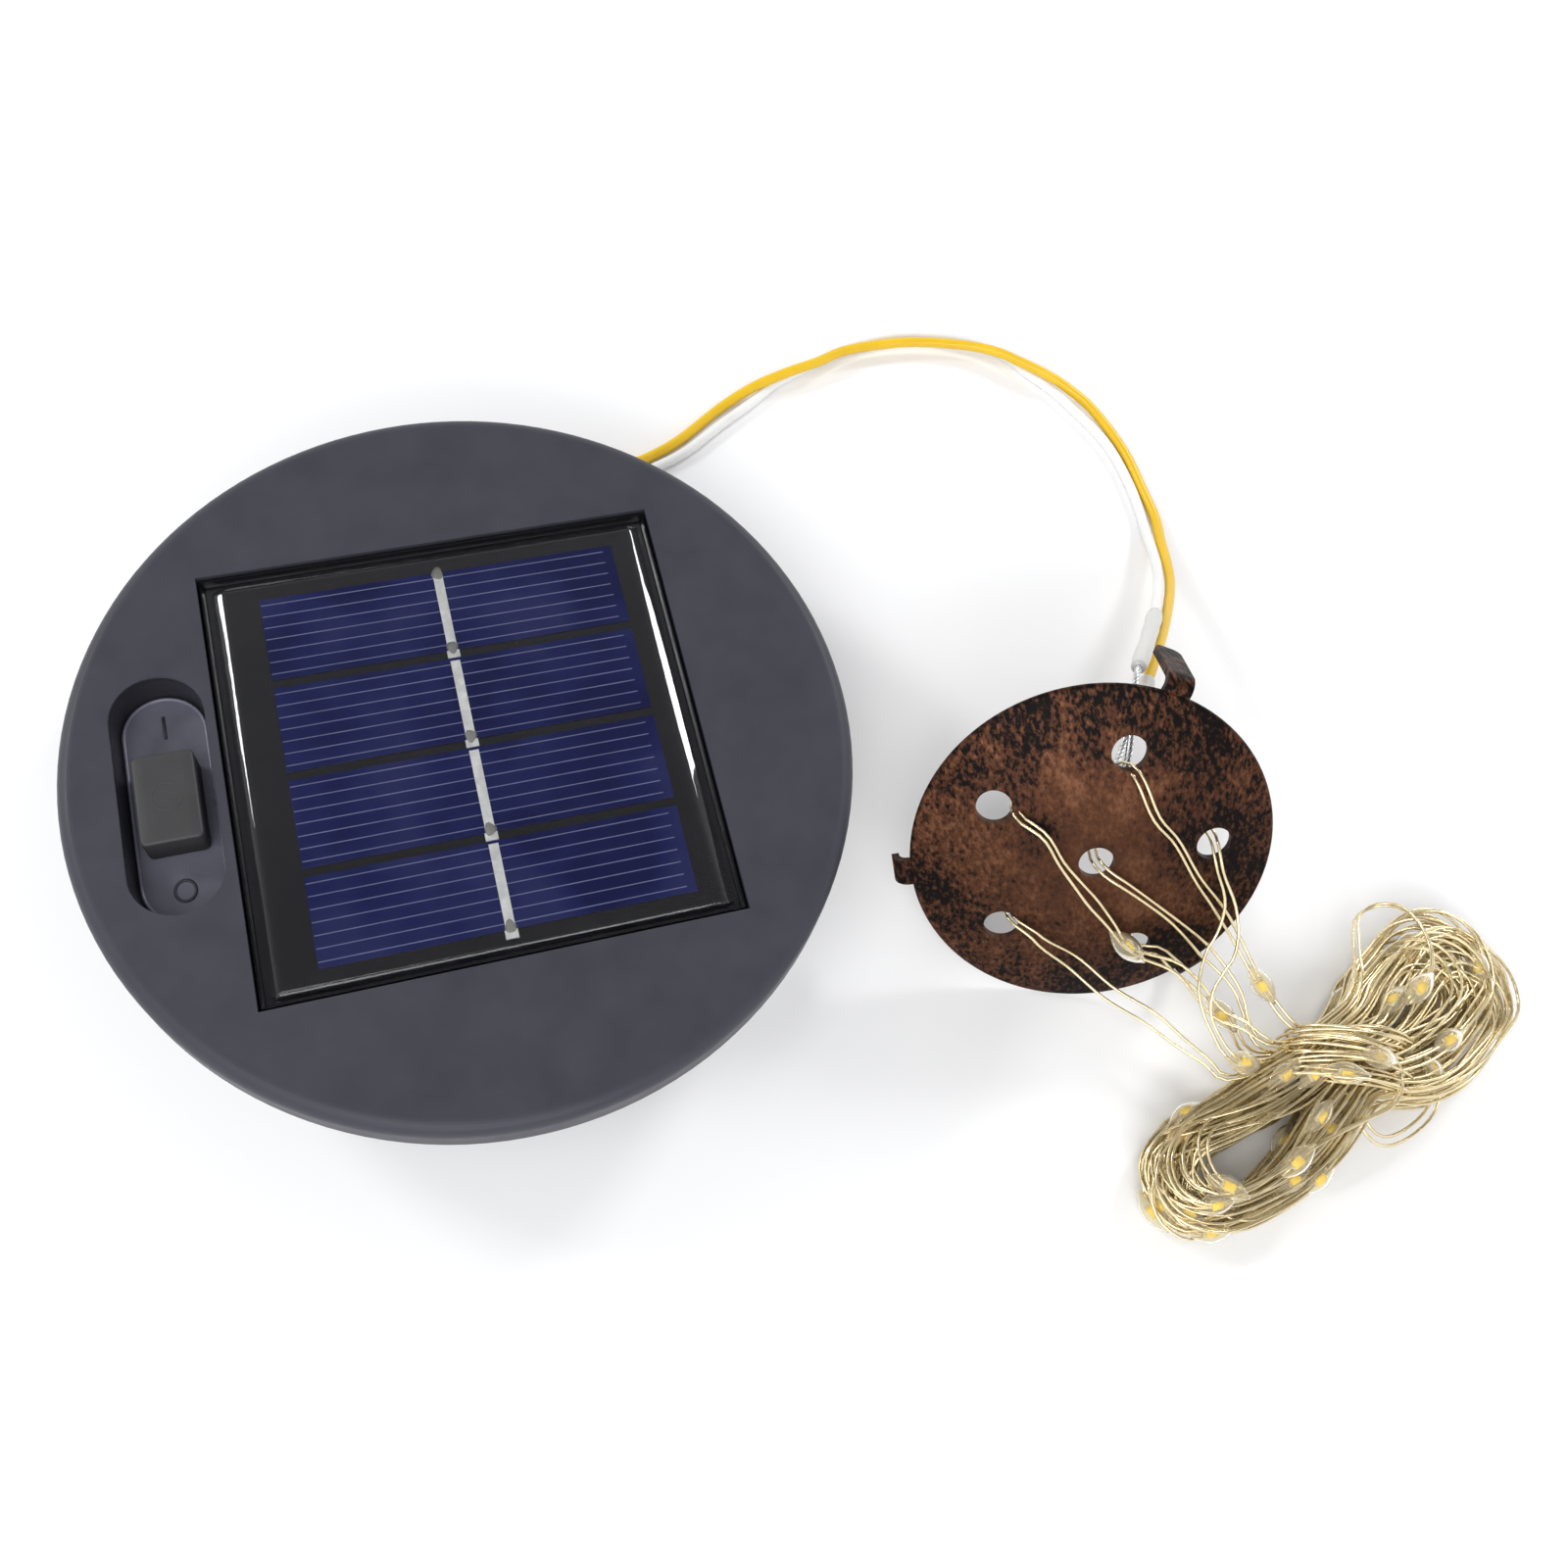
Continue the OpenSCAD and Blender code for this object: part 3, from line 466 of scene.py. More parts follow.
YELLOW_ROUTE = [
    (20.5, 39, 3.6), (24.5, 41.6, 1.5), (29, 43, 0.7), (34, 45, 0.7), (40.5, 49, 0.7),
    (45.5, 51, 1.5), (50, 52, 2.1), (54.5, 53, 2.1), (59.5, 54.5, 1.8), (67.5, 54.5, 1.7),
    (74.5, 53, 1.7), (79, 51, 1.9), (82, 48.5, 2.1), (85, 46, 2), (87.5, 44, 1.2),
    (90, 40.5, 0.7), (92, 33.5, 0.7), (92.5, 27, 0.7), (92.5, 22.5, 1), (91.5, 19, 2),
    (88.6, 11.2, 5.6), (83, 3.5, 11.5), (77, -3.5, 17), (74, -7, 19)]
WHITE_ROUTE = [
    (21.8, 37.8, 3.4), (25.6, 40, 1.4), (30, 41.5, 0.7), (34.5, 43.2, 0.7), (40, 46.5, 0.7),
    (44.5, 49, 0.7), (48.5, 51.5, 0.7), (53.5, 53.5, 0.7), (57.5, 55, 0.7), (62, 56, 0.7),
    (66.5, 56.5, 0.7), (72.5, 55.5, 0.7), (78, 53, 0.7), (81, 50.5, 0.7), (83, 47.5, 0.7),
    (85, 45, 0.7), (87, 41.5, 0.7), (90, 35, 0.7), (91, 28, 0.7), (90.5, 21, 1.2),
    (87.5, 12.5, 5.5), (81, 3.5, 13)]
YELLOW_SLEEVE = [(74, -7, 19), (71.5, -10, 20), (69, -13, 20.6)]
WHITE_SLEEVE = [(81, 3.5, 13), (76.5, -1.5, 18), (72, -6.5, 22)]
YELLOW_TAIL = [(69, -13, 20.6), (67, -15.6, 20.8), (64.6, -18.4, 21.2)]
WHITE_TAIL = [(72, -6.5, 22), (70.5, -8.5, 23.5), (68.5, -12.5, 24), (66.8, -16.5, 23.2),
              (65.6, -18.6, 22.4)]


def exit_point(r, side):
    """Where a lead passes through the grommet, at a radius, to one side of its middle."""
    c, s = math.cos(EXIT_ANGLE), math.sin(EXIT_ANGLE)
    return Vector((r * c + side * EXIT_SPREAD * s, r * s - side * EXIT_SPREAD * c, EXIT_Z))


def twisted_tail(name, route, cad_node):
    """Bare strands twisted together, with solder run over them."""
    step, strands, strand_r, ring_r, turns_per_mm = 0.25, 5, 0.17, 0.24, 0.32
    solder_r, solder_swell = 0.24, 0.14
    path = smooth_path(route, step)
    frames = directions(path)
    shape = Shape()
    for k in range(strands):
        line = []
        for i, (p, (_, side, up)) in enumerate(zip(path, frames)):
            a = 2 * math.pi * (k / strands + i * step * turns_per_mm)
            line.append(p + side * ring_r * math.cos(a) + up * ring_r * math.sin(a))
        add_tube(shape, line, strand_r, sides=6)
    add_tube(shape, path, lambda t: solder_r + solder_swell * math.sin(math.pi * t) ** 2, sides=8)
    made = shape.piece(name, ["tinned_wire"], "tinned_wire")
    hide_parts(cad_node)
    return made


def shrunk_sleeve(name, route, cad_node):
    """Heat-shrunk tube, slightly wavy: it grips at both ends and in the middle."""
    path = smooth_path(route, 0.4)
    outer, grip, ripple, ripples = LEAD_D / 2 + 0.32, 0.1, 0.035, 17
    shape = Shape()
    add_tube(shape, path, lambda t: outer - grip * math.cos(2 * math.pi * t) ** 8
             + ripple * math.sin(ripples * t), sides=16)
    made = shape.piece(name, ["clear_sleeve"], "clear_sleeve")
    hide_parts(cad_node)
    return made


def lead(colour, side, route, sleeve_route, tail_route):
    """One insulated lead from inside the grommet to the glue, with its sleeve and twisted tail."""
    straight = [exit_point(CUP_INNER_R - INSIDE_RUN, side), exit_point(CUP_R + OUTSIDE_RUN, side)]
    path = smooth_path(straight + route + sleeve_route[1:], LEAD_STEP)
    shape = Shape()
    add_tube(shape, path, LEAD_D / 2, sides=14)
    wire = shape.piece(f"lead_{colour}", [f"wire_{colour}"], f"wire_{colour}")
    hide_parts(f"lead_wire_{colour}")
    sleeve = shrunk_sleeve(f"lead_sleeve_{colour}", sleeve_route, f"sleeve_{colour}")
    tail = twisted_tail(f"lead_tail_{colour}", tail_route, f"solder_joint_{colour}")


lead("yellow", -1, YELLOW_ROUTE, YELLOW_SLEEVE, YELLOW_TAIL)
lead("white", 1, WHITE_ROUTE, WHITE_SLEEVE, WHITE_TAIL)


# --- the rose plate's own axes

PLATE_TILT = math.radians(52.5)
PLATE_HEADING = math.radians(-109)
PLATE_TURN = Matrix.Rotation(PLATE_HEADING, 3, "Z") @ Matrix.Rotation(PLATE_TILT, 3, "Y")


def on_plate(p):
    """A point of the plate's own axes, in the row frame."""
    return Vector(PLATE_PLACE) + PLATE_TURN @ Vector(p)


# --- the six light strings

# Each string's start behind the plate, in the plate's axes
STRING_STARTS = [
    [(-4.8, 1.8, 0), (2, 6, -0.6), (8.6, 6.4, -0.8), (10.6, 6.6, 0.8), (10.7, 7.9, 2.6)],
    [(-5.8, 2.4, 0), (-5, 7.6, -0.6), (-4.2, 11.2, -0.8), (-3.6, 12.3, 0.8), (-2, 12.8, 2.8)],
    [(-8.8, 0, -0.3), (-10.6, 0.2, -1.8), (-12.4, 0.3, -1.9), (-13.4, 0.4, -0.2),
     (-13.1, 0.7, 1.6), (-11.8, 1.4, 2.9)],
    [(-6, -2.4, 0), (-5.6, -7.4, -1), (-4.6, -11.4, -1), (-4.4, -12.5, 0.8), (-4.8, -11.7, 2.6)],
    [(-4.8, -1.8, 0), (2, -5, -0.6), (8, -7.4, -1), (10.2, -8.3, 0.6), (9.4, -8, 2.6)],
    [(-4.2, 0.1, 0.2), (-1.6, -0.2, -0.2), (-0.2, -0.2, 1.6), (0.2, 0.3, 3.2), (0.8, 1.4, 4)]]
# Each string's way from its hole down to the hank
STRING_ENDS = [
    [(68.5, -34.5, 9.5), (70.5, -36.5, 8), (73, -39, 6.5), (74.5, -42, 6), (76, -44.5, 5),
     (77.5, -47.5, 3.5)],
    [(74.5, -30, 18), (75.5, -33, 15.5), (75, -36, 13), (73, -38.5, 11.5), (71.5, -41, 10.5),
     (72, -44.5, 8.5), (75, -48.5, 7)],
    [(67, -24, 23.5), (69.5, -26.5, 21), (72, -30, 17.5), (74.5, -32.5, 14.5), (76.5, -35.5, 12),
     (79, -41, 9), (82.5, -46.5, 7)],
    [(55.5, -22.5, 21), (57.5, -25.5, 18.5), (59.5, -28, 16.5), (62.5, -31.5, 13.5),
     (65, -34.5, 11), (70, -37.5, 10), (73.5, -42.5, 7.5), (76, -44.5, 7.5), (79.5, -47.5, 7)],
    [(53, -28, 12), (56, -31, 9.5), (59.5, -33.5, 7.5), (63, -37.5, 6), (67, -41, 5),
     (69.5, -44.5, 5), (72, -47.5, 5), (74, -49.5, 5)],
    [(63.5, -28.5, 17.5), (66.5, -30.5, 15.5), (70, -33, 13), (73.5, -36, 10), (76.5, -40.5, 8),
     (78.5, -47, 5.5)]]
# Where the first lights sit, this near a string's start: string number to place
NEAR_START = 120
FIRST_LIGHTS = {0: (75, -43, 5.6), 1: (74.5, -48, 7), 2: (79, -41, 9), 3: (64.3, -34.1, 11.4)}
# How far along the other first lights come, and how much later on every second string
FIRST_LIGHT = 70
LIGHT_STAGGER = 12
LIGHT_PITCH = 98
LAST_LIGHT_INSET = 2.2

# The clear drops' lengths and widths, and the larger one's string, length and width
DROP_LENGTHS = (4.8, 5.6)
DROP_WIDTHS = (2.3, 2.7)
BIG_DROP_STRING = 3
BIG_DROP = (5.7, 3.0)
# An LED's case and its yellow face: size and height above the string's middle line
LED_BLOCKS = [((1.7, 1.15, 0.4), 0.1), ((1.25, 1.0, 0.4), 0.5)]

STRING_STEP = 1.1
WIRE_R = 0.175
# Half the distance between a string's two wires, and how much they part: on each string's way
# down, in the hank, and behind the plate
WIRE_GAP = 0.28
PARTING = [0.4, 1.3, 0.22, 0.42, 0.5, 0.5]
HANK_PARTING = 0.22
BEHIND_PARTING = 0.1
# Two places that pinch the wires: in the hole, from the string's start, and before the hank
TO_HOLE = 17
BEFORE_HANK = 5
TURNS = 7
# The lowest that a string's middle line lies, and the tightest fold of the hank
FLOOR_GAP = 0.8
FOLD_R = 4.0
# The tightest bends of the cord's middle line, on the way down and in the hank
LIMP_BEND = 2.15
HANK_BEND = 3.05


class Lobe:
    """One of the hank's two ends: loops from the waist round a tip and back."""

    def __init__(self, axis, belly, tip_length, waist, inner, setbacks, tops):
        self.axis = smooth_path([(x, y, 0) for x, y in axis], 0.5)
        self.reach = path_length(self.axis)
        self.belly, self.tip_length, self.waist, self.inner = belly, tip_length, waist, inner
        self.setbacks, self.tops = setbacks, tops

    def at(self, gone):
        """The axis's point at a distance from the waist, and the direction towards the plate."""
        i = min(len(self.axis) - 2, max(1, round(gone / self.reach * (len(self.axis) - 1))))
        ahead = (self.axis[i + 1] - self.axis[i - 1]).normalized()
        side = Vector((-ahead.y, ahead.x, 0))
        rest = gone - self.reach * i / (len(self.axis) - 1)
        return self.axis[i] + ahead * rest, side if side.y > 0 else -side

    def loop(self, first, before, after, rng):
        """Out on one flank (first: 1 or -1), round the tip and back on the other.

        Before and after are the flanks' (column, row): column 0 is next to the middle and 1 at the
        outside, row 0 at the bottom and 1 at the top.
        """
        out_flank, back_flank = (self.belly * (self.inner + (1 - self.inner) * c[0])
                                 for c in (before, after))
        half_tip = max(FOLD_R, (out_flank + back_flank) / 2)
        middle = (out_flank - back_flank) / 2
        breadth = (half_tip - FOLD_R) / (self.belly - FOLD_R)
        tip_length = FOLD_R + (self.tip_length - FOLD_R) * breadth
        setback = (1 - breadth) * rng.uniform(*self.setbacks) + 2.5 * (middle / self.belly) ** 2
        straight = self.reach - setback - tip_length
        low, high = self.tops
        flank, tip, neck = 5, 9, 0.4
        last = 2 * flank + tip - 1
        out = []
        for k in range(last + 1):
            row = before[1] + (after[1] - before[1]) * ease(k / last)
            if flank <= k < flank + tip:
                a = math.pi * (k - flank + 0.5) / tip
                gone, across = straight + tip_length * math.sin(a), middle + half_tip * math.cos(a)
            else:
                u = (k if k < flank else last - k) / flank
                sign, column, edge = ((1, before[0], out_flank) if k < flank
                                      else (-1, after[0], back_flank))
                at_waist = sign * (neck + (self.waist - neck) * column)
                across = at_waist + (sign * edge - at_waist) * ease(u * 1.5)
                across += (middle + sign * half_tip - across) * ease((u - 0.3) / 0.7)
                gone = straight * u
            place, side = self.at(gone)
            place += side * first * across
            top = high + (low - high) * (max(0, gone) / self.reach) ** 1.5
            top -= 0.3 * (top - FLOOR_GAP) * (across / self.belly) ** 4
            out.append(Vector((place.x, place.y, FLOOR_GAP + row * (top - FLOOR_GAP))))
        return out


WAIST_PLACE = (86.5, -51.0)
LEFT_LOBE = Lobe([WAIST_PLACE, (80, -54.6), (73.5, -57.2), (66.3, -58.2), (60.7, -57.3)],
                 belly=6.5, tip_length=9.5, waist=4.7, inner=0.15, setbacks=(0.5, 7),
                 tops=(5.2, 8.4))
RIGHT_LOBE = Lobe([WAIST_PLACE, (94, -49.6), (101, -46), (106.5, -42.3), (111.6, -39.9)],
                  belly=8.4, tip_length=9.0, waist=4.9, inner=0.02, setbacks=(4, 11),
                  tops=(6.0, 8.4))
# How far the turns shake loose in each lobe and round the waist
RIGHT_SHAKE = 3.0
LEFT_SHAKE = 1.7
WRAP_SHAKE = 1.6
# The noise that shifts the turns: blobs in a millimetre, and the places that it is read at
WOBBLE_SCALE = 0.05
WOBBLE_STEP = 7.3
WOBBLE_PHASE = 21.3
WOBBLE_LAYERS = (0, 31.7, 67.3)


def wobble(p, seed, size):
    """A smooth, repeatable shift of a point in the hank."""
    place = p * WOBBLE_SCALE + Vector((seed * WOBBLE_STEP, WOBBLE_PHASE, seed))
    x, y, z = (size * noise.noise(place + Vector((0, 0, layer))) for layer in WOBBLE_LAYERS)
    return Vector((p.x + x, p.y + y, max(p.z + z * 0.5, FLOOR_GAP)))


def hank_cells(rng):
    """For each half turn, each string's (column, row) in the section."""
    strings = len(STRING_ENDS)
    orders = [rng.sample(range(TURNS), TURNS) for _ in range(2)]
    out = []
    for half in range(2 * TURNS):
        rows = rng.sample(range(strings), strings)
        cells = []
        for i in range(strings):
            column = (orders[half % 2][half // 2] + rng.uniform(-0.5, 0.5)) / (TURNS - 1)
            row = (rows[i] + rng.uniform(-0.4, 0.4)) / (strings - 1)
            cells.append((min(1, max(0, column)), min(1, max(0, row))))
        out.append(cells)
    return out


def hank_points(string, cells, rng):
    """One string's turns: round the right lobe, round the left lobe, and on."""
    points = []
    for turn in range(TURNS):
        upper, lower = cells[2 * turn][string], cells[2 * turn + 1][string]
        after = cells[(2 * turn + 2) % (2 * TURNS)][string]
        for lobe, first, way, shake in ((RIGHT_LOBE, 1, (upper, lower), RIGHT_SHAKE),
                                        (LEFT_LOBE, -1, (lower, after), LEFT_SHAKE)):
            loop = lobe.loop(first, *way, rng)
            seed = string + 0.37 * len(points)
            size = shake * (1.2 - max(upper[0], lower[0]))
            points += [wobble(p, seed, size * math.sin(math.pi * k / (len(loop) - 1)))
                       for k, p in enumerate(loop) if k > 0]
    return points


def wrap_points(turns, start, offset, creep, rise):
    """Turns round the hank's waist, slantwise, that creep across it."""
    middle = Vector((*WAIST_PLACE, rise + 0.55))
    along, across = Vector((0.93, -0.36, 0)), Vector((0.36, 0.93, 0))
    radius, parts = 7.0, 12
    out = []
    for k in range(int(turns * parts) + 1):
        a = 2 * math.pi * (start + k / parts)
        slide = offset + creep * k / parts
        p = middle - along * radius * math.cos(a) + across * slide
        p += Vector((0, 0, rise * math.sin(a)))
        out.append(wobble(p, offset * 3 + k * 0.01, WRAP_SHAKE))
    return out


# How each string ends, after its turns: round the waist, or in a loose loop
STRING_TAILS = [
    [(90.5, -43.5, 7.5), (92.2, -40.2, 7), (94.1, -36.5, 6), (95.9, -33.9, 5), (97.7, -33.1, 5),
     (99.2, -33.4, 5.5), (100.1, -35.2, 7), (100.5, -38.2, 8.2), (100.4, -41.3, 8.6),
     (98.9, -44.1, 8.8), (95, -46.5, 9)],
    wrap_points(3.3, 0.1, -3.4, 1.0, 4.7),
    [(86.6, -59.1, 5), (88.5, -60, 3.5), (91.9, -59.8, 2.5), (94.9, -58.8, 2.5),
     (96.8, -57.4, 3), (97, -55, 5), (95, -53, 7.8)],
    wrap_points(3.2, 0.2, 3.0, -0.9, 4.8),
    wrap_points(2.2, 0.4, 0.4, 0.8, 4.9),
    [(89.5, -50.5, 8.6), (91.3, -53.5, 8.8), (89, -56.6, 8.6), (84.5, -57.6, 8.4), (79, -58.7, 8),
     (74.5, -60.7, 6.6)]]


def light_places(string, path):
    """The numbers of the points that carry a light: one every pitch, and one at the end."""
    if string in FIRST_LIGHTS:
        place = Vector(FIRST_LIGHTS[string])
        first = min(range(int(NEAR_START / STRING_STEP)), key=lambda i: (path[i] - place).length)
    else:
        first = int((FIRST_LIGHT + LIGHT_STAGGER * (string % 2)) / STRING_STEP)
    every = int(LIGHT_PITCH / STRING_STEP)
    last = len(path) - 1 - int(LAST_LIGHT_INSET / STRING_STEP)
    return [*range(first, last - every // 2, every), last]


def add_drop(shape, middle, ahead, side, up, length, width):
    """A clear glue drop: an almond round both wires."""
    rings, sides, blunt, fullness, flatness = 15, 14, 0.13, 0.85, 0.86
    path = [middle + ahead * length * (k / (rings - 1) - 0.5) for k in range(rings)]
    verts = []
    for k, p in enumerate(path):
        t = k / (rings - 1)
        r = width / 2 * max(blunt, math.sin(math.pi * t) ** fullness)
        for s in range(sides):
            a = 2 * math.pi * s / sides
            q = p + side * (r * flatness * math.cos(a)) + up * (r * math.sin(a))
            verts.append((q.x, q.y, max(q.z, 0.02)))
    shape.add(verts, tube_faces(rings, sides))


def add_block(shape, middle, x, y, z, size, slot):
    """A small block with its long edges cut, along three given directions."""
    l, w, h = (s / 2 for s in size)
    cut = min(w, h) * 0.35
    outline = [(w, h - cut), (w - cut, h), (cut - w, h), (-w, h - cut), (-w, cut - h),
               (cut - w, -h), (w - cut, -h), (w, cut - h)]
    verts = [middle + x * end * l + y * a + z * b for end in (-1, 1) for a, b in outline]
    shape.add(verts, tube_faces(2, len(outline)), slot)


def wire_pair(string, path, frames, lights, run_out):
    """The two wires of a string: they part between lights, and lie side by side elsewhere."""
    camera = Vector(CAMERA_PLACE)
    hole = int(TO_HOLE / STRING_STEP)
    entry = int((run_out - BEFORE_HANK) / STRING_STEP)
    pinches = [hole, entry] + lights
    twist, sway, sway_scale = 0.03, 2.2, 0.02
    wires = [[], []]
    turn = 0.0
    for i, (p, (ahead, side, up)) in enumerate(zip(path, frames)):
        free = min(abs(i - k) for k in pinches) * STRING_STEP
        if i <= entry:
            away = ahead.cross(camera - p).normalized()
            turn = math.atan2(away.dot(up), away.dot(side))
            spread = PARTING[string] if i > hole else BEHIND_PARTING
            half = WIRE_GAP + spread * ease(free / 11)
        else:
            gone = (i - entry) * STRING_STEP
            place = Vector((gone * sway_scale, 0, string * 3.7))
            a = turn + gone * twist + sway * noise.noise(place)
            away = side * math.cos(a) + up * math.sin(a)
            half = WIRE_GAP + HANK_PARTING * ease(free / 6)
        for sign, wire in zip((1, -1), wires):
            q = p + away * (half * sign)
            wire.append(Vector((q.x, q.y, max(q.z, WIRE_R + 0.06))))
    return wires


def add_light(drops, chips, middle, ahead, tilt, length, width):
    """An LED in its drop on a string, turned by tilt from facing up."""
    level = (Vector((0, 0, 1)) - ahead * ahead.z).normalized()
    across = level.cross(ahead)
    top = (level * math.cos(tilt) + across * math.sin(tilt)).normalized()
    flank = top.cross(ahead).normalized()
    place = Vector((middle.x, middle.y, max(middle.z, width / 2 + 0.05)))
    add_drop(drops, place, ahead, top, flank, length, width)
    for slot, (size, height) in enumerate(LED_BLOCKS):
        add_block(chips, place + top * height, ahead, flank, top, size, slot)


def light_string(string, cells):
    """One string, from the glue behind the plate to its last light."""
    start = [on_plate(p) for p in STRING_STARTS[string]]
    way_down = start + [Vector(p) for p in STRING_ENDS[string]]
    run_out = path_length(smooth_path(way_down, STRING_STEP))
    entry = run_out / STRING_STEP
    run = way_down + hank_points(string, cells, random.Random(500 + string))
    path = smooth_path(run + STRING_TAILS[string], STRING_STEP)
    path = respaced(eased(path, lambda i: LIMP_BEND if i < entry else HANK_BEND), STRING_STEP)
    frames = directions(path)
    lights = light_places(string, path)
    shape, drops, chips = Shape(), Shape(), Shape()
    for wire in wire_pair(string, path, frames, lights, run_out):
        add_tube(shape, wire, WIRE_R, sides=6)
    made = shape.piece(f"string_{string + 1}", ["string_wire"], "string_wire")

    rng = random.Random(100 + string)
    for i in lights:
        tilt = rng.uniform(-0.9, 0.9)
        length, width = rng.uniform(*DROP_LENGTHS), rng.uniform(*DROP_WIDTHS)
        if string == BIG_DROP_STRING and i == lights[0]:
            length, width = BIG_DROP
        add_light(drops, chips, path[i], frames[i][0], tilt, length, width)
    drop_piece = drops.piece(f"string_{string + 1}_drops", ["led_lens"], "led_lens")
    chip_piece = chips.piece(f"string_{string + 1}_chips", ["led_body", "led_chip"], "led_chip")
    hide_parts(f"light_string_{string + 1}", "string_hank")


HANK_CELLS = hank_cells(random.Random(11))
for number in range(len(STRING_ENDS)):
    light_string(number, HANK_CELLS)


# --- the solar panel


def node_box(node):
    """A CAD node's lowest and highest corner, in millimetres."""
    return [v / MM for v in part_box(node)]


POCKET_LOW, POCKET_HIGH = node_box("panel_board")
LID_TOP = node_box("lid_shell")[1].z
RESIN_TOP = node_box("panel_resin")[1].z
BOARD_TOP = POCKET_HIGH.z

RESIN_GAP = 0.5
RESIN_CORNER_R = 1.6
# The resin's edge: distance from its rim, and how far it lies below the middle there
SHOULDER = [(0, 0.85), (0.12, 0.66), (0.3, 0.52), (0.6, 0.36), (0.9, 0.2), (1.15, 0.07),
            (1.4, -0.02), (1.7, -0.07), (2.1, -0.08), (2.8, -0.05), (3.8, -0.02), (5, 0)]
# Distances from a rim at which the resin's mesh has lines
RIM_LINES = [0, 0.12, 0.3, 0.45, 0.6, 0.75, 0.9, 1.02, 1.15, 1.27, 1.4, 1.55, 1.7, 1.9, 2.1, 2.4,
             2.8, 3.3, 3.8, 5, 7, 10]


def pocket_painted_shade():
    """A black lining in the gap between the panel and the pocket's wall: painted shade for the
    deep, shadowed gap.
    """
    section = [(0.02, 0.45), (0.1, 0.35), (0.2, 0.55), (0.32, 1.0), (0.45, 1.6), (0.02, 1.6)]
    x0, x1, y0, y1 = POCKET_LOW.x, POCKET_HIGH.x, POCKET_LOW.y, POCKET_HIGH.y
    rings = [[(x, y, LID_TOP - down) for x, y in ((x0 + d, y0 + d), (x1 - d, y0 + d),
                                                 (x1 - d, y1 - d), (x0 + d, y1 - d))]
             for d, down in section]
    shape = Shape()
    shape.add_hoop(rings)
    shape.piece("pocket_painted_shade", ["seal_black"], "board_black", smooth=False)


pocket_painted_shade()


def shoulder_drop(d):
    """How far the resin lies below its middle, at a distance from its rim."""
    for (d0, h0), (d1, h1) in zip(SHOULDER, SHOULDER[1:]):
        if d <= d1:
            return h0 + (h1 - h0) * (d - d0) / (d1 - d0)
    return 0


def resin():
    """Poured resin: flat in the middle, with a low bead and rounded shoulders at its rim."""
    x0, x1 = POCKET_LOW.x + RESIN_GAP, POCKET_HIGH.x - RESIN_GAP
    y0, y1 = POCKET_LOW.y + RESIN_GAP, POCKET_HIGH.y - RESIN_GAP

    def lines(low, high):
        steps, rim = 12, RIM_LINES[-1]
        middle = [low + rim + (high - low - 2 * rim) * k / steps for k in range(1, steps)]
        return [low + n for n in RIM_LINES] + middle + [high - n for n in reversed(RIM_LINES)]

    xs, ys = lines(x0, x1), lines(y0, y1)

    def height(x, y):
        # The shoulders widen towards the back on the left, and towards the middle on the right
        along = (y - y0) / (y1 - y0)
        left, right = 1 + 0.3 * along, 1 + 0.45 * math.sin(math.pi * along)
        dx, dy = min((x - x0) / left, (x1 - x) / right), min(y - y0, y1 - y) * 1.5
        near_rim = min(dx, dy)
        if dx < RESIN_CORNER_R and dy < RESIN_CORNER_R:
            corner = math.hypot(RESIN_CORNER_R - dx, RESIN_CORNER_R - dy)
            near_rim = max(0, RESIN_CORNER_R - corner)
        dip = 0.05 * noise.noise(Vector((x * 0.12, y * 0.12, 3)))
        return min(RESIN_TOP - shoulder_drop(near_rim) + dip, LID_TOP - 0.12)

    columns = len(xs)
    verts = [(x, y, height(x, y)) for y in ys for x in xs]
    faces = [(j * columns + i, j * columns + i + 1, (j + 1) * columns + i + 1,
              (j + 1) * columns + i) for j in range(len(ys) - 1) for i in range(columns - 1)]
    ring = ([(i, 0) for i in range(columns)] + [(columns - 1, j) for j in range(1, len(ys))]
            + [(i, len(ys) - 1) for i in reversed(range(columns - 1))]
            + [(0, j) for j in reversed(range(1, len(ys) - 1))])
    base = len(verts)
    verts += [(xs[i], ys[j], BOARD_TOP + 0.01) for i, j in ring]
    n = len(ring)
    for k, (i, j) in enumerate(ring):
        i2, j2 = ring[(k + 1) % n]
        faces.append((j2 * columns + i2, j * columns + i, base + k, base + (k + 1) % n))
    faces.append(tuple(base + k for k in reversed(range(n))))
    shape = Shape()
    shape.add(verts, faces)
    made = shape.piece("resin_pour", ["panel_resin"], "panel_resin")
    for face in made.data.polygons[-n - 1:]:
        face.use_smooth = False
    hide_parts("panel_resin")


resin()

CELLS = range(1, 5)
# The silver lines on each cell strip
FINGERS = 7
FINGER_W = 0.12
FINGER_H = 0.02


def flat_bar(shape, x0, x1, y0, y1, z0, z1):
    """A low bar with sloping sides."""
    inset = min(x1 - x0, y1 - y0, (z1 - z0) * 4) * 0.25
    low = [(x0, y0, z0), (x1, y0, z0), (x1, y1, z0), (x0, y1, z0)]
    high = [(x0 + inset, y0 + inset, z1), (x1 - inset, y0 + inset, z1),
            (x1 - inset, y1 - inset, z1), (x0 + inset, y1 - inset, z1)]
    shape.add(low + high, tube_faces(2, 4))


def cell_fingers(cell):
    """The thin silver lines printed across one cell strip."""
    low, high = node_box(f"solar_cell_{cell}")
    shape = Shape()
    pitch = (high.y - low.y) / FINGERS
    for k in range(FINGERS):
        y = low.y + pitch * (k + 0.5)
        flat_bar(shape, low.x + 0.1, high.x - 1.0, y - FINGER_W / 2, y + FINGER_W / 2,
                 high.z - 0.005, high.z + FINGER_H)
    shape.piece(f"cell_fingers_{cell}", ["finger_silver"], "ribbon_tin", smooth=False)


for cell in CELLS:
    cell_fingers(cell)


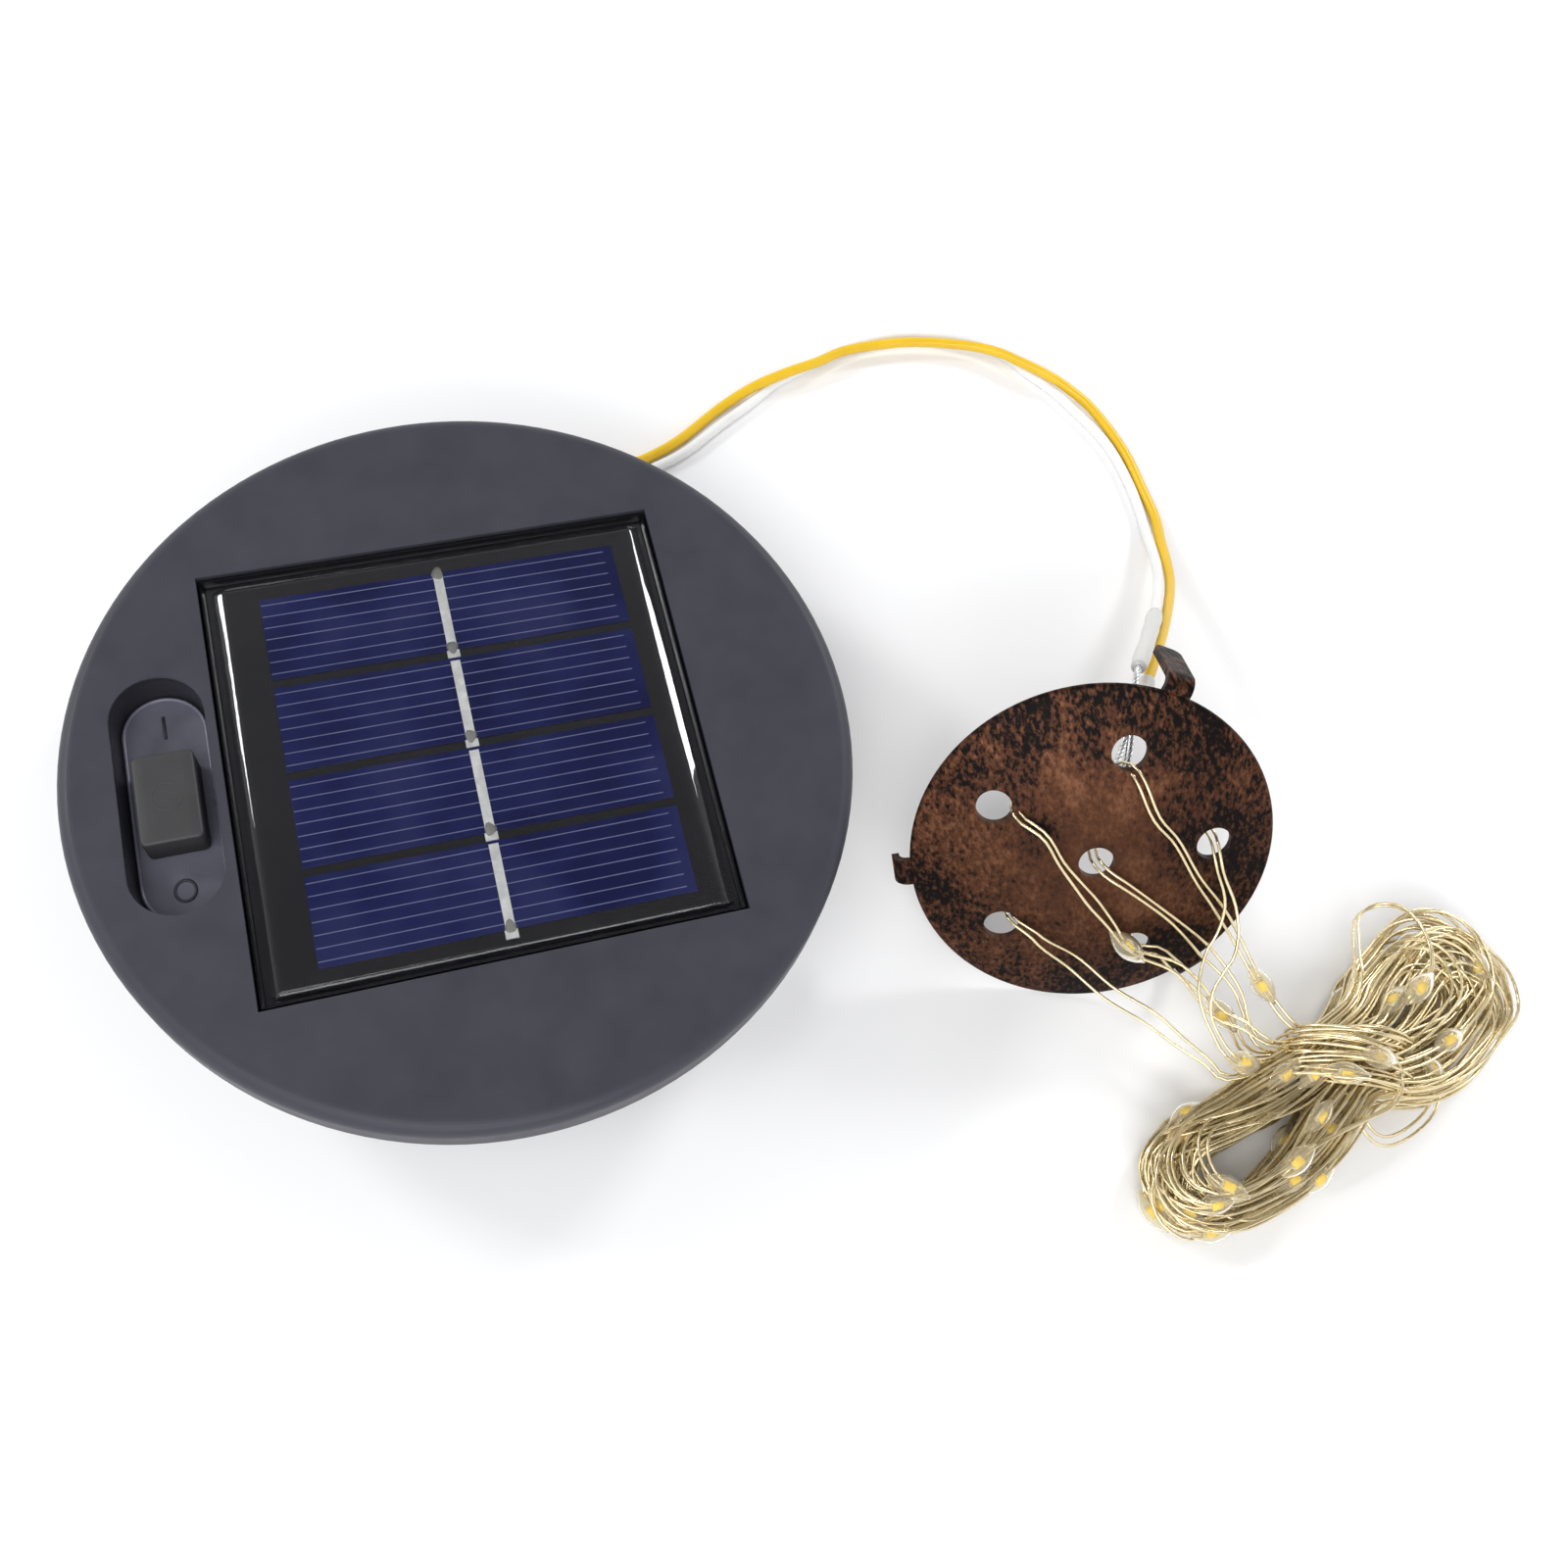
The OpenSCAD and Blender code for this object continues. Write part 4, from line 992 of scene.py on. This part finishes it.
def solder_feet():
    """Lumps of solder on the ribbon in the gaps between the strips, and at its ends."""
    ribbon_low, ribbon_high = node_box("cell_ribbons")
    x = (ribbon_low.x + ribbon_high.x) / 2
    boxes = [node_box(f"solar_cell_{cell}") for cell in CELLS]
    places = [low.y + 0.3 for low, high in boxes] + [boxes[0][1].y - 0.2]
    rings, sides, half_w, half_l, height = 5, 12, 0.62, 0.85, 0.13
    shape = Shape()
    for k, y in enumerate(places):
        verts = []
        for r in range(rings):
            t = r / (rings - 1) * math.pi / 2
            for s in range(sides):
                a = 2 * math.pi * s / sides
                wave = 1 + 0.13 * math.sin(3 * a + k)
                verts.append((x + half_w * math.cos(t) * math.cos(a) * wave,
                              y + half_l * math.cos(t) * math.sin(a) * wave,
                              ribbon_high.z - 0.06 + height * math.sin(t)))
        shape.add(verts, tube_faces(rings, sides)[:-1])
    shape.piece("ribbon_solder", ["solder_grey"], "ribbon_tin")


solder_feet()


# --- the switch

# The recess's middle, its size at the top, and the height of its floor
RECESS_X = -29.6
RECESS_Y = 0.4
RECESS_L = 25.7
RECESS_W = 9.3
RECESS_FLOOR = 16


def stadium(l, w):
    """An outline with round ends, long along Y, counter-clockwise."""
    half, parts = (l - w) / 2, 20
    out = []
    for end in (1, -1):
        for k in range(parts + 1):
            a = math.pi * k / parts + (0 if end > 0 else math.pi)
            out.append((RECESS_X + w / 2 * math.cos(a),
                        RECESS_Y + end * half + w / 2 * math.sin(a)))
    return out


def stadium_sweep(section):
    """A closed section, out from the recess's edge and up from the lid's top, taken round it."""
    rings = [[(x, y, LID_TOP + up) for x, y in stadium(RECESS_L + 2 * out, RECESS_W + 2 * out)]
             for out, up in section]
    shape = Shape()
    shape.add_hoop(rings)
    return shape


def recess_lining():
    """The recess's glossy inner wall, darkened as painted shade, and the thin rib where it meets
    the floor, lightened as a painted highlight.
    """
    depth = LID_TOP - RECESS_FLOOR
    wall = [(0, -0.03), (-0.05, -0.12), (-0.08, -1), (-0.16, 0.9 - depth), (-0.3, 0.25 - depth),
            (-0.42, 0.02 - depth), (-0.42, -0.02 - depth), (0, -0.02 - depth)]
    stadium_sweep(wall).piece("recess_lining", ["recess_plastic"], "lid_plastic")
    # The rib's light grey is a painted highlight
    rib_r = 0.2
    rib = [(-0.42 - rib_r + rib_r * math.cos(math.radians(a)),
            0.08 - depth + rib_r * math.sin(math.radians(a))) for a in range(0, -360, -45)]
    stadium_sweep(rib).piece("recess_rib", ["rib_grey"], "lid_plastic")


def recess_floor_painted_light_plate():
    """A thin sheet on the recess's floor, lighter than the lid's plastic: painted light on the
    shadowed floor. It has the slot that the knob's stem slides in.
    """
    inset, slot_l, slot_w, low, high = 0.45, 7.6, 2.4, 0.005, 0.04
    edge, slot = stadium(RECESS_L - 2 * inset, RECESS_W - 2 * inset), stadium(slot_l, slot_w)
    shape = Shape()
    shape.add_hoop([[(x, y, RECESS_FLOOR + z) for x, y in outline]
                    for outline, z in ((edge, low), (slot, low), (slot, high), (edge, high))])
    shape.piece("recess_floor_painted_light_plate", ["recess_floor"], "lid_plastic", smooth=False)


recess_lining()
recess_floor_painted_light_plate()


def knob():
    """The knob: a matt bar with a tight edge radius and a stem."""
    low, high = node_box("switch_knob")
    cap_bottom = RECESS_FLOOR + 0.3
    w, l = (high.x - low.x) / 2, (high.y - low.y) / 2
    cx, cy = (high.x + low.x) / 2, (high.y + low.y) / 2
    corner, parts = 0.6, 5
    outline = []
    for sx, sy, start in ((1, 1, 0), (-1, 1, 90), (-1, -1, 180), (1, -1, 270)):
        for k in range(parts + 1):
            a = math.radians(start + 90 * k / parts)
            outline.append((sx * (w - corner) + corner * math.cos(a),
                            sy * (l - corner) + corner * math.sin(a)))
    levels = [(0, cap_bottom), (0, high.z - 0.3), (0.04, high.z - 0.16), (0.14, high.z - 0.05),
              (0.3, high.z), (1.2, high.z + 0.02)]
    verts = []
    for inset, z in levels:
        kx, ky = (w - inset) / w, (l - inset) / l
        verts += [(cx + x * kx, cy + y * ky, z) for x, y in outline]
    shape = Shape()
    shape.add(verts, tube_faces(len(levels), len(outline)))
    stem_w, stem_l = 1.0, 1.5
    flat_bar(shape, cx - stem_w, cx + stem_w, cy - stem_l, cy + stem_l, low.z, cap_bottom + 0.05)
    made = shape.piece("slide_knob", ["knob_plastic"], "knob_plastic", body=KNOB_BODY)
    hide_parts("switch_knob")
    return cx, cy, high.z + 0.02


def add_ring(shape, x, y, z, r, wire, stretch=1.0):
    """A moulded ring lying flat, stretched along Y."""
    parts, sides = 28, 8
    verts = []
    for k in range(parts):
        a = 2 * math.pi * k / parts
        for s in range(sides):
            b = 2 * math.pi * s / sides
            out = r + wire * math.cos(b)
            verts.append((x + out * math.cos(a), y + out * math.sin(a) * stretch,
                          z + wire * math.sin(b)))
    shape.add(verts, hoop_faces(parts, sides))


def switch_marks(cx, cy, knob_top):
    """A ring on the knob, and the plain I and O marks for on and off on the recess's floor."""
    ring = Shape()
    add_ring(ring, cx, cy, knob_top - 0.05, r=1.45, wire=0.1)
    ring.piece("knob_ring", ["knob_plastic"], "knob_plastic", body=KNOB_BODY)
    marks = Shape()
    place, bar_w, bar_l = 9.0, 0.2, 1.3
    add_ring(marks, RECESS_X, RECESS_Y - place, RECESS_FLOOR + 0.02, r=1.0, wire=0.16, stretch=1.1)
    bar_y = RECESS_Y + place
    flat_bar(marks, RECESS_X - bar_w, RECESS_X + bar_w, bar_y - bar_l, bar_y + bar_l,
             RECESS_FLOOR - 0.02, RECESS_FLOOR + 0.2)
    marks.piece("switch_marks", ["lid_plastic"], "lid_plastic")


switch_marks(*knob())


# --- finishes on the CAD nodes

SLOT_OF = {s["node"]: s["material_slot"] for s in frame["record"]["subparts"]}
for node, made in frame["nodes"].items():
    made.data.materials.clear()
    made.data.materials.append(MATERIALS[SLOT_OF[node]])


# --- floor and light

# Where the lights face, in metres
LIT_PLACE = (0.03, 0, 0.01)


def plain_floor():
    half, mid_x = 3.0, 0.04
    mesh = bpy.data.meshes.new("floor")
    corners = [(-half, -half), (half, -half), (half, half), (-half, half)]
    mesh.from_pydata([(mid_x + x, y, 0) for x, y in corners], [], [(0, 1, 2, 3)])
    material, nodes, links, shader = new_material("floor")
    set_socket(shader, "Base Color", (0.88, 0.88, 0.88, 1))
    set_socket(shader, "Roughness", 0.9)
    mesh.materials.append(material)
    placed("floor", mesh)


def area_light(name, place, size, power):
    """A soft light: place and size in metres, power in watts."""
    light = placed(name, bpy.data.lights.new(name, "AREA"))
    light.data.shape = "RECTANGLE"
    light.data.size, light.data.size_y = size
    light.data.energy = power
    light.location = Vector(place)
    way = Vector(LIT_PLACE) - Vector(place)
    light.rotation_euler = way.to_track_quat("-Z", "Y").to_euler()


def studio():
    """A pale sky that darkens overhead, and four soft lights."""
    world = bpy.data.worlds.new("studio")
    world.use_nodes = True
    background = world.node_tree.nodes["Background"]
    nodes, links = world.node_tree.nodes, world.node_tree.links
    place = nodes.new("ShaderNodeTexCoord")
    split = nodes.new("ShaderNodeSeparateXYZ")
    links.new(place.outputs["Generated"], split.inputs["Vector"])
    sky = ramp_node(nodes, links, split.outputs["Z"],
                    [(0, (0.97, 0.98, 1)), (0.4, (0.93, 0.94, 0.96)), (0.8, (0.28, 0.28, 0.29)),
                     (0.95, (0.16, 0.16, 0.17))])
    links.new(sky, background.inputs["Color"])
    background.inputs["Strength"].default_value = 1.2
    bpy.context.scene.world = world
    area_light("left", (-0.6, 0.46, 0.57), (0.18, 0.14), 2.2)
    area_light("right", (0.62, 0.40, 0.5), (0.17, 0.12), 1.9)
    area_light("front", (-0.1, -0.6, 0.5), (0.5, 0.3), 2.2)
    area_light("top", (-0.35, -0.3, 0.8), (0.6, 0.6), 3.2)


plain_floor()
studio()
bpy.context.scene.view_settings.view_transform = "Standard"
